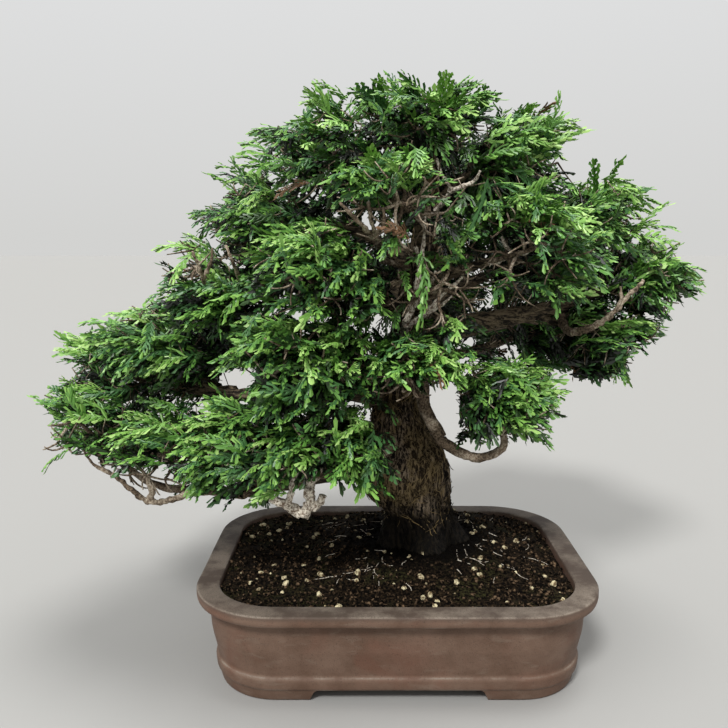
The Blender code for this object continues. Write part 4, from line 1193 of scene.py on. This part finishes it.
# Rootlets
# Fine dry surface roots and shed twiglets that lie across the soil round the trunk, with the
# soil showing between them. They have the bleached bark of the forks.
ROOTLETS = 64
ROOTLET_START, ROOTLET_REACH = (38.0, 96.0), (7.0, 26.0)
ROOTLET_RADII, ROOTLET_SIDES = (0.2, 0.45), 5
ROOTLET_STEP, ROOTLET_FEWEST = 3.0, 4
ROOTLET_TURN, ROOTLET_BEND = 1.1, 0.25
ROOTLET_HEIGHT, ROOTLET_FROM_RIM = 0.35, 5.0
dice = random.Random("rootlets")
rootlet_heap = []
while len(rootlet_heap) < ROOTLETS:
    turn, away = dice.uniform(0, 2 * math.pi), dice.uniform(*ROOTLET_START)
    x, y = FOOT_FROM_POT.x / MM + away * math.cos(turn), FOOT_FROM_POT.y / MM + away * math.sin(turn)
    heading = turn + dice.uniform(-ROOTLET_TURN, ROOTLET_TURN)
    bend = dice.uniform(-ROOTLET_BEND, ROOTLET_BEND)
    spots = []
    for _ in range(max(ROOTLET_FEWEST, int(dice.uniform(*ROOTLET_REACH) / ROOTLET_STEP))):
        spots.append((x, y, soil_height(x, y) + ROOTLET_HEIGHT))
        x, y = x + ROOTLET_STEP * math.cos(heading), y + ROOTLET_STEP * math.sin(heading)
        heading += bend + dice.uniform(-ROOTLET_BEND, ROOTLET_BEND)
    if all(inside_pot(x, y, RIM_WIDTH + ROOTLET_FROM_RIM) for x, y, _ in spots):
        line = np.vstack([lay_on_pot(np.array([(x, y)]), z) for x, y, z in spots])
        radii = np.linspace(dice.uniform(*ROOTLET_RADII), ROOTLET_RADII[0], len(line))
        rootlet_heap.append(closed_loft(tube(line, radii * MM, ROOTLET_SIDES)))
rootlets = add_object("rootlets", mesh_of("rootlets", *heap_up(rootlet_heap)))
rootlets.data.shade_smooth()
rootlets.data.materials.append(bleached_finish)
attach(rootlets, "root")

# Foliage
# Hinoki foliage is flat sprays of scale-covered fingers on short shoots: broad fans, and long
# narrow plumes that hang over at their tips. Each is an axis with fingers on both its sides.
SPRAY_LENGTH = 33.0
SPRAY_SIZES = (0.72, 1.2)
KINDS_EACH = 6
FAN_FINGERS, FAN_WIDTH = 12, 0.4
PLUME_FINGERS, PLUME_WIDTH = 16, 0.25
PLUME_GROWTH = 1.35
# Shares of a spray's length: how it arches and sways, and where its fingers leave its axis.
ARCH, ARCH_START, SWAY = (0.2, 0.55), 0.3, (-0.2, 0.2)
AXIS_PARTS, AXIS_OVERLAP, AXIS_WIDTH = 3, 1.08, 0.85
FINGER_START, FINGER_RUN, FINGER_SHIFT = 0.06, 0.88, (-0.02, 0.02)
AXIS_AHEAD = 0.01
# Of a finger: its width, the points of its rim in its own length and width, and its bends.
FINGER_WIDTH = 0.04
FINGER_RIM = ((0.0, 0.4), (0.3, 1.2), (0.52, 0.6), (0.86, 1.15))
FINGER_DROOP, FINGER_FOLD, FINGER_SWEEP = 0.2, 0.7, 0.3
FINGER_ANGLES, FINGER_LIFTS = (34, 60), (-20, 22)
FINGER_TAPER = 0.55
UNEVEN_WIDTH, UNEVEN_LENGTH, UNEVEN_SWEEP = (0.85, 1.15), (0.7, 1.25), (0.4, 1.2)
YOUNG_SHARE, YOUNG_GROWTH = 0.65, 0.5


def finger(start, ahead, side, up, length, width, sweep):
    """One finger of scales: an old lobe and a young lobe on each side of its drooping ridge."""

    def spot(along, across):
        fall = FINGER_DROOP * along * along * length + FINGER_FOLD * abs(across) * width
        swept = sweep * along * along * length
        return start + ahead * along * length + side * across * width + swept - up * fall

    points = [spot(0.0, 0.0), spot(0.5, 0.0), spot(1.0, 0.0)]
    faces = []
    for hand in (1, -1):
        edge = list(range(len(points), len(points) + len(FINGER_RIM)))
        points += [spot(along, across * hand) for along, across in FINGER_RIM]
        for face in ([0, *edge[:3], 1], [1, *edge[2:], 2]):
            faces.append(face if hand == -1 else face[::-1])
    return np.array(points), faces


def spray_shape(kind):
    """One spray of unit length along +X, its face to +Z, and which of its faces are young."""
    dice = random.Random(f"spray {kind}")
    plume = kind >= KINDS_EACH
    count = PLUME_FINGERS if plume else FAN_FINGERS
    longest = (PLUME_WIDTH if plume else FAN_WIDTH) * dice.uniform(*UNEVEN_WIDTH)
    wide = FINGER_WIDTH / PLUME_GROWTH if plume else FINGER_WIDTH
    arch = dice.uniform(*ARCH)
    sway = dice.uniform(*SWAY)

    def on_axis(x):
        return Vector((x, sway * x * x, ARCH_START * arch * x - arch * x * x))

    up = Vector((0.0, 0.0, 1.0))
    heap, young = [], []
    for k in range(AXIS_PARTS):
        start = on_axis(k / AXIS_PARTS)
        run = on_axis((k + 1) / AXIS_PARTS) - start
        side = up.cross(run).normalized()
        heap.append(finger(start, run.normalized(), side, up, run.length * AXIS_OVERLAP, wide * AXIS_WIDTH,
                           Vector()))
        young += [False, k == AXIS_PARTS - 1] * 2
    for k in range(count):
        along = FINGER_START + FINGER_RUN * k / count + dice.uniform(*FINGER_SHIFT)
        axis = (on_axis(along + AXIS_AHEAD) - on_axis(along)).normalized()
        angle = math.radians(dice.uniform(*FINGER_ANGLES))
        lift = math.radians(dice.uniform(*FINGER_LIFTS))
        across = up.cross(axis).normalized() * (1 if k % 2 else -1)
        ahead = (axis * math.cos(angle) + across * math.sin(angle)) * math.cos(lift) + up * math.sin(lift)
        side = up.cross(ahead).normalized()
        length = longest * (1 - FINGER_TAPER * along) * dice.uniform(*UNEVEN_LENGTH)
        width = wide * dice.uniform(*UNEVEN_WIDTH)
        sweep = (axis - across) * FINGER_SWEEP * dice.uniform(*UNEVEN_SWEEP)
        heap.append(finger(on_axis(along), ahead, side, ahead.cross(side), length, width, sweep))
        young += [False, dice.random() < YOUNG_SHARE + YOUNG_GROWTH * (along - 0.5)] * 2
    points, faces = heap_up(heap)
    return points, faces, young


spray_kinds = bpy.data.collections.new("spray_kinds")
scene.collection.children.link(spray_kinds)
for kind in range(2 * KINDS_EACH):
    points, faces, young = spray_shape(kind)
    mesh = bpy.data.meshes.new("spray")
    mesh.from_pydata(points.tolist(), [], faces)
    mesh.attributes.new("young", "BOOLEAN", "FACE").data.foreach_set("value", young)
    spray_kinds.objects.link(bpy.data.objects.new(f"spray_{kind:02d}", mesh))

# Cypress scale leaves: waxy and half matt. Each spray has a tint of painted light and shade, from the
# near black of shaded sprays to the lime of lit ones. Its old lobes are one tint darker and its young ones
# lighter.
TINTS = {
    "deep_shade": "0b1306",
    "shade": "2c491c",
    "blue_green": "406a38",
    "leaf": "548235",
    "warm_leaf": "689340",
    "fresh": "7aa74c",
    "lime_tip": "98bb68",
    "dead_brown": "6d5037",
}
tints = []
for name, code in TINTS.items():
    material, tree, shader = new_material("cypress_leaf_" + name, 0.44, 0.5)
    shader.inputs["Base Color"].default_value = linear(code)
    tints.append(material)
LIVE_TINTS = len(TINTS) - 1
DEAD_SHARE = 0.008
BARE_INSIDE = 0.15
BOX_PROUD = 4.0
# Each layer of a mass: how far out in its rounded form, and how many sprays are tried there.
SPRAY_LAYERS = ((1.1, 20), (1.0, 128), (0.92, 104), (0.82, 80), (0.7, 54), (0.55, 30))
LAYER_UNEVEN = (0.9, 1.05)
SEAT_REACH = 26.0
SPRAY_PROUD, SPRAY_OVERLAP = 1.18, 2.0
# Points of a spray that are tested for room, in its own length: ahead, across and off its face.
SPRAY_PROBES = ((0.1, 0.0, 0.0), (0.35, 0.2, 0.0), (0.35, -0.2, 0.0), (0.6, 0.25, -0.06),
                (0.6, -0.25, -0.06), (0.8, 0.0, -0.14), (1.0, 0.0, -0.24))
# A spray heads out of its mass and out of the crown, a little up and a little any way, and
# its face is turned mostly up.
HEADS_OUT, HEADS_AWAY, HEADS_UP, HEADS_ANYWHERE = 0.6, 0.8, 0.2, 0.38
FACES_OUT, FACES_UP, FACES_ANYWHERE = 0.25, 0.85, 0.4
HANG = (1.0, 1.0, 0.5)
CROWN_FALL = (0, 0, 0.02)
UP = np.array((0.0, 0.0, 1.0))
# How lit a spray is, in tints: more in the outer layers, on top and in lit patches of this
# size in mm, less where it faces the crown's inside, and a little more or less by chance.
LIT_OUTSIDE, SHADE_REACH, LIT_RUN = 3.4, 0.55, 0.45
LIT_ON_TOP, SHADED_INSIDE, LIT_BY_CHANCE = 1.0, 3.0, 1.15
LIT_PATCH, LIT_PATCH_SIZE = 1.7, 34.0
# How far the sprays of these masses reach, as a share of the mass's own size.
MASS_REACH = {
    "back_centre": 1.15, "back_right": 1.06, "back_right_low": 1.12,
    "left_far": 1.02, "right_under": 0.93, "right_far": 0.94, "right_low": 1.0, "left_high": 1.02,
    "crown_top": 1.22, "crown_upper_left": 1.26, "crown_upper_right": 1.1, "left_low": 1.2,
    "left_low_inner": 1.15, "left_middle": 1.15, "left_tier": 1.14, "front_low": 1.08,
    "front_centre_low": 1.15, "shoulder_right": 1.06, "shoulder_left": 1.06,
}
# Long single sprays: the pixel of the photograph where each tip is seen, and how far behind the
# trunk's foot it is, in mm.
LEADERS = {
    "left_far": ((34, 388, -25), (36, 460, -25)),
    "left_tier": ((80, 330, 0), (66, 384, 0)),
    "shoulder_left": ((226, 162, 0),),
    "crown_upper_left": ((345, 92, -10), (362, 84, 0)),
    "crown_top": ((408, 72, 0), (492, 82, 0)),
    "crown_upper_right": ((574, 114, 0), (560, 126, -10)),
    "shoulder_right": ((596, 156, 0), (612, 152, 0), (676, 216, 0)),
    "right_far": ((674, 236, 0), (702, 279, 10)),
}
LEADER_SIZE, LEADER_RISE, LEADER_TINT = (1.2, 1.5), (0, 0, 0.01), LIVE_TINTS - 3
# Ellipses of the photograph, in pixels, where bare wood or the crown's dark inside shows.
CLEARINGS = {
    "dark_hollow": (404, 306, 18, 24),
    "round_the_fork": (428, 286, 34, 32),
    "over_the_fork": (420, 246, 14, 26),
    "dark_middle": (482, 288, 22, 16),
    "right_of_the_loop": (508, 314, 46, 16),
    "right_thicket": (522, 256, 36, 24),
    "under_the_top": (446, 190, 24, 24),
    "left_of_the_top": (405, 205, 14, 13),
    "left_bough": (150, 483, 20, 6),
    "left_hook": (152, 497, 34, 5),
    "right_limb": (588, 330, 12, 4),
    "right_limb_end": (614, 308, 12, 7),
    "crown_stem": (374, 222, 14, 15),
    "crown_low": (350, 214, 12, 7),
    "under_the_front": (404, 398, 30, 15),
    "left_twigs": (204, 266, 13, 11),
    "high_twig": (232, 259, 7, 9),
    "left_hollow": (292, 284, 9, 14),
}
CLEARED_SHARE = 0.95
CLEARED_BEHIND, CLEARED_INSIDE = 25.0, -12.0
box_low = np.array(solid_box[0]) - BOX_PROUD * MM
box_high = np.array(solid_box[1]) + BOX_PROUD * MM


def in_clearing(points, behind):
    """Which points stand before this depth, behind the foot, where the dark inside shows."""
    return (points[..., 1] < trunk_foot.y + behind * MM) & in_ellipses(points, CLEARINGS)


def seen_at(across, down, behind):
    """The point seen at a pixel of the photograph, this many millimetres behind the trunk's foot."""
    deep = trunk_foot.y + behind * MM - camera.location.y
    x, y = across - FRAME_PIXELS / 2, FRAME_PIXELS / 2 - down
    ahead = FOCAL_PIXELS * math.cos(CAMERA_PITCH) + y * math.sin(CAMERA_PITCH)
    rise = y * math.cos(CAMERA_PITCH) - FOCAL_PIXELS * math.sin(CAMERA_PITCH)
    return np.array(camera.location) + np.array((x, ahead, rise)) * deep / ahead


def turned(heading, across, face):
    """The turn that lays a spray's axis, side and face along these."""
    return Matrix((heading, across, face)).transposed().to_quaternion()


def aim_sprays(name, reach, count, turn, rng):
    """Sprays that might sit in one layer: their tips, axes, sizes, kinds, inwardness and light."""
    space, trunk_line = spaces[name], limbs["trunk"][0]
    aims = spread(count, turn)
    stretch = reach * MASS_REACH.get(name, 1.0) * rng.uniform(*LAYER_UNEVEN, (count, 1))
    tips = space.centre + aims * space.half * stretch
    round_out = unit(aims / space.half)
    middle = np.stack([np.interp(tips[:, 2], trunk_line[:, 2], trunk_line[:, k]) for k in range(3)], 1)
    crown_out = unit(tips - middle - CROWN_FALL)
    face = unit(FACES_OUT * round_out + FACES_UP * UP + FACES_ANYWHERE * rng.normal(size=(count, 3)))
    level_out = round_out * np.where(round_out[:, 2:] < 0, HANG, 1.0)
    heading = unit(HEADS_OUT * level_out + HEADS_AWAY * crown_out + HEADS_UP * UP
                   + HEADS_ANYWHERE * rng.normal(size=(count, 3)))
    face = unit(face - heading * (heading * face).sum(1, keepdims=True))
    kinds = rng.integers(2 * KINDS_EACH, size=count)
    growth = np.where(kinds >= KINDS_EACH, PLUME_GROWTH, 1.0)
    sizes = SPRAY_LENGTH * growth * rng.uniform(*SPRAY_SIZES, count) * MM
    inward = np.maximum(-(round_out * crown_out).sum(1), 0.0)
    light = LIT_OUTSIDE * (min(reach, 1.0) - SHADE_REACH) / LIT_RUN
    light = light + LIT_ON_TOP * round_out[:, 2] - SHADED_INSIDE * inward
    return tips, (heading, np.cross(face, heading), face), sizes, kinds, inward, light


def have_room(name, near, roots, axes, sizes, rng):
    """Which sprays keep to their mass's space, clear of the limbs, sky gaps and clearings."""
    probes = np.stack([roots + (axes[0] * x + axes[1] * y + axes[2] * z) * sizes[:, None]
                       for x, y, z in SPRAY_PROBES], 1)
    proud = SPRAY_PROUD * MASS_REACH.get(name, 1.0)
    inside = spaces[name].inside(probes.reshape(-1, 3), proud, -SPRAY_OVERLAP)
    free = inside.reshape(len(roots), -1).all(1)
    free &= ((probes > box_low) & (probes < box_high)).all((1, 2))
    free &= clear_of(near, probes, LIMB_MARGIN).all(1)
    free &= ~in_ellipses(probes, SKY_GAPS).any(1)
    cleared = in_clearing(probes, CLEARED_BEHIND).any(1)
    return free & ~(cleared & (rng.random(len(roots)) < CLEARED_SHARE))


def grow_sprays(name, near, seats, dice, rng):
    """Where the sprays of one mass sit: root, turn, size, kind, tint and seat on a twig."""
    tree = KDTree(len(seats))
    for k, seat in enumerate(seats):
        tree.insert(seat, k)
    tree.balance()
    turn = dice.uniform(0, 2 * math.pi)
    found = []
    for layer, (reach, count) in enumerate(SPRAY_LAYERS):
        tips, axes, sizes, kinds, inward, light = aim_sprays(name, reach, count, turn + layer, rng)
        roots = tips - axes[0] * sizes[:, None]
        free = have_room(name, near, roots, axes, sizes, rng)
        free &= rng.random(count) > BARE_INSIDE * inward
        for k in np.flatnonzero(free):
            seat, _, gap = tree.find(roots[k])
            if gap < SEAT_REACH * MM:
                # The tint is painted light and shade: lit patches and outer, upper sprays take the lighter
                # tints.
                patch = noise.noise(Vector(tips[k]) / (LIT_PATCH_SIZE * MM))
                own_light = light[k] + (LIT_PATCH * patch + rng.normal() * LIT_BY_CHANCE)
                tint = int(np.clip(round(own_light), 0, LIVE_TINTS - 1))
                if rng.random() < DEAD_SHARE:
                    tint = LIVE_TINTS
                own_turn = turned(*(axis[k] for axis in axes))
                found.append((roots[k], own_turn, sizes[k], kinds[k], tint, seat))
    for place in LEADERS.get(name, ()):
        tip = seen_at(*place)
        heading = unit(tip - spaces[name].centre + LEADER_RISE)
        size = SPRAY_LENGTH * dice.uniform(*LEADER_SIZE) * MM
        across = unit(np.cross(UP, heading))
        root = tip - heading * size
        found.append((root, turned(heading, across, np.cross(heading, across)), size,
                      dice.randrange(KINDS_EACH) + KINDS_EACH, LEADER_TINT, tree.find(root)[0]))
    return found


BARE_BOUGHS = ("right_low", "left_low", "left_far", "front_low")
INNER_STEP, INNER_START = 3.4, 0.25
INNER_SIZES = (0.55, 0.95)
# Inner sprays take only the darkest tints: painted shade for the crown's inside.
INNER_SHADE_TINTS = (0, 1, 1, 2)
INNER_RISE, INNER_AHEAD, INNER_SHOOT = (0, 0, 0.8), 0.5, 6.0
INNER_FACE = (0.1, 0.0, 1.0)
SUNK_IN_BARK = 0.9


def inner_sprays(name, dice):
    """Small shaded sprays on short shoots along a bough, before it enters its mass."""
    line, radii = limbs[name]
    found = []
    for _ in range(int(len(line) * BOUGH_STEP / INNER_STEP)):
        place = dice.uniform(INNER_START, 1.0) * (len(line) - 1.001)
        low = int(place)
        ahead = unit(line[low + 1] - line[low])
        out = np.array([dice.gauss(0, 1) for _ in range(3)]) + INNER_RISE
        out = unit(out - ahead * (out @ ahead))
        seat = points_along(line, place) + out * radii[low] * SUNK_IN_BARK
        heading = unit(out + INNER_AHEAD * ahead)
        face = unit(np.cross(heading, np.cross(INNER_FACE, heading)))
        size = SPRAY_LENGTH * dice.uniform(*INNER_SIZES) * MM
        root = seat + heading * INNER_SHOOT * MM
        along = root + np.outer((0.0, 0.5, 1.0), heading) * size
        if not (in_ellipses(along, SKY_GAPS).any() or in_clearing(along, CLEARED_INSIDE).any()):
            found.append((root, turned(heading, np.cross(face, heading), face), size,
                          dice.randrange(2 * KINDS_EACH), dice.choice(INNER_SHADE_TINTS), Vector(seat)))
    return found


# What each spray's point carries, in the order of a spray's fields after its root.
SPRAY_FIELDS = {"turn": "QUATERNION", "size": "FLOAT", "kind": "INT", "tint": "INT"}
placer = bpy.data.node_groups.new("sprays_on_twigs", "GeometryNodeTree")
for name, kind in (("Geometry", "Geometry"), ("Shapes", "Collection"), ("Tint", "Int"),
                   ("Finish", "Material"), ("Young Finish", "Material")):
    socket(placer, name, kind)
socket(placer, "Geometry", "Geometry", incoming=False)
given = add(placer, "NodeGroupInput").outputs
shapes = add(placer, "GeometryNodeCollectionInfo", {"Collection": given["Shapes"], "Separate Children": True})
carried = {key: add(placer, "GeometryNodeInputNamedAttribute", {"Name": key}, data_type=kind).outputs[0]
           for key, kind in SPRAY_FIELDS.items()}
chosen = add(placer, "FunctionNodeCompare", {2: carried["tint"], 3: given["Tint"]}, data_type="INT",
             operation="EQUAL").outputs[0]
laid = add(placer, "GeometryNodeInstanceOnPoints",
           {"Points": given["Geometry"], "Selection": chosen, "Instance": shapes.outputs[0],
            "Pick Instance": True, "Instance Index": carried["kind"], "Rotation": carried["turn"],
            "Scale": carried["size"]}).outputs[0]
solid = add(placer, "GeometryNodeRealizeInstances", {0: laid}).outputs[0]
finished = add(placer, "GeometryNodeSetMaterial", {0: solid, "Material": given["Finish"]}).outputs[0]
young_face = add(placer, "GeometryNodeInputNamedAttribute", {"Name": "young"}, data_type="BOOLEAN").outputs[0]
finished = add(placer, "GeometryNodeSetMaterial",
               {0: finished, "Selection": young_face, "Material": given["Young Finish"]}).outputs[0]
add(placer, "NodeGroupOutput", {0: finished})


def spray_piece(name, sprays):
    """One joined mesh of these sprays, tint by tint."""
    spots = bpy.data.meshes.new("spray_spots")
    spots.from_pydata([tuple(spray[0]) for spray in sprays], [], [])
    for field, (key, kind) in enumerate(SPRAY_FIELDS.items(), 1):
        values = np.array([spray[field] for spray in sprays]).ravel()
        spots.attributes.new(key, kind, "POINT").data.foreach_set("value", values)
    shell = bmesh.new()
    for tint, look in enumerate(tints):
        older = tints[tint - 1] if 0 < tint < LIVE_TINTS else look
        younger = tints[tint + 1] if tint < LIVE_TINTS - 1 else look
        mesh = grown(placer, spots, {"Shapes": spray_kinds, "Tint": tint, "Finish": older,
                                     "Young Finish": younger})
        slots = np.array([tints.index(item) if item else tint for item in mesh.materials], np.int32)
        if len(slots):
            own = np.empty(len(mesh.polygons), np.int32)
            mesh.polygons.foreach_get("material_index", own)
            mesh.polygons.foreach_set("material_index", slots[own])
        shell.from_mesh(mesh)
        bpy.data.meshes.remove(mesh)
    joined = bpy.data.meshes.new(name)
    shell.to_mesh(joined)
    shell.free()
    for look in tints:
        joined.materials.append(look)
    return add_object(name, joined)


REGIONS = {
    "crown_top": ("crown_top", "crown_upper_left", "crown_upper_right", "crown_back"),
    "crown_front": ("crown_front", "front_centre", "front_centre_low", "right_inner"),
    "left_upper": ("shoulder_left", "left_high", "left_middle", "left_tier"),
    "left_lower": ("left_far", "left_low", "left_low_inner", "front_low"),
    "front": ("front_left", "front_middle", "right_low"),
    "right": ("shoulder_right", "right_far", "right_under"),
    "back_upper": ("back_left", "back_right", "back_centre"),
    "back_lower": ("back_left_low", "back_middle_low", "back_right_low"),
}
TWIGLET_GAP, TWIGLET_REACH = 4.0, 3.0
TWIGLET_RADII, TWIGLET_SIDES = (0.6, 0.35), 3
twig_heap = []
for region, members in REGIONS.items():
    sprays = []
    for name in members:
        dice = random.Random("hinoki " + name)
        rng = np.random.default_rng(list(MASSES).index(name))
        carrier = limbs[name if name in BOUGHS else "trunk"][0]
        direction = unit(carrier[-1] - carrier[-2])
        near = near_limbs(spaces[name])
        wood, seats = grow_wood(spaces[name], carrier[-1], direction, near, dice)
        twig_heap += [closed_loft(tube(line, radii * MM, sides)) for line, radii, sides in wood]
        grown_sprays = grow_sprays(name, near, seats, dice, rng)
        if name in BOUGHS and name not in BARE_BOUGHS:
            grown_sprays += inner_sprays(name, dice)
        sprays += grown_sprays
        for root, turn, _, _, _, seat in grown_sprays:
            if (Vector(root) - seat).length > TWIGLET_GAP * MM:
                ahead = np.array(turn @ Vector((1.0, 0.0, 0.0)))
                line = np.array([seat, root + ahead * TWIGLET_REACH * MM])
                twig_heap.append(closed_loft(tube(line, np.array(TWIGLET_RADII) * MM, TWIGLET_SIDES)))
    foliage = spray_piece(region + "_sprays", sprays)
    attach(foliage, "root")
    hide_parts(*[name + "_foliage" for name in members])
drop(spray_kinds)
twigs = add_object("twigs", mesh_of("twigs", *heap_up(twig_heap)))
twigs.data.shade_smooth()
twigs.data.materials.append(twig_finish)
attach(twigs, "root")

# Floor and light
# A plain pale floor, and soft studio light from far off, so that it falls evenly on it: a key
# from the upper left of the front, a wide one from overhead, and an even pale surround.
FLOOR_REACH = 12.0
SURROUND_STRENGTH, SURROUND_TOP = 0.82, 0.35
# Of each lamp: the spot it shines from toward the middle, its strength and its width in degrees.
LAMPS = {
    "key": ((-0.4, -1.0, 1.15), 2.9, 12.0),
    "overhead": ((0.2, 0.1, 1.6), 2.0, 30.0),
}
floor_corners = [(x * FLOOR_REACH, y * FLOOR_REACH, 0.0) for x, y in ((-1, -1), (1, -1), (1, 1), (-1, 1))]
floor_mesh = bpy.data.meshes.new("floor")
floor_mesh.from_pydata(floor_corners, [], [(0, 1, 2, 3)])
floor = add_object("floor", floor_mesh)
floor_finish, tree, shader = new_material("pale_floor", 0.8, 0.2)
shader.inputs["Base Color"].default_value = linear("979693")
floor.data.materials.append(floor_finish)

world = bpy.data.worlds.new("surround")
scene.world = world
world.use_nodes = True
tree = world.node_tree
upward = add(tree, "ShaderNodeTexCoord").outputs["Generated"]
upward = add(tree, "ShaderNodeSeparateXYZ", {0: upward}).outputs["Z"]
share = add(tree, "ShaderNodeMapRange", {0: upward, 1: 0.0, 2: SURROUND_TOP}).outputs[0]
sky = add(tree, "ShaderNodeMix",
          {0: share, 6: linear("e6e6e4"), 7: linear("f6f7f8")}, data_type="RGBA").outputs[2]
tree.links.new(sky, tree.nodes["Background"].inputs["Color"])
tree.nodes["Background"].inputs["Strength"].default_value = SURROUND_STRENGTH
for name, (spot, power, width) in LAMPS.items():
    lamp = bpy.data.lights.new(name, "SUN")
    lamp.angle = math.radians(width)
    lamp.energy = power
    item = bpy.data.objects.new(name, lamp)
    scene.collection.objects.link(item)
    item.location = spot
    item.rotation_euler = (-Vector(spot)).to_track_quat("-Z", "Y").to_euler()
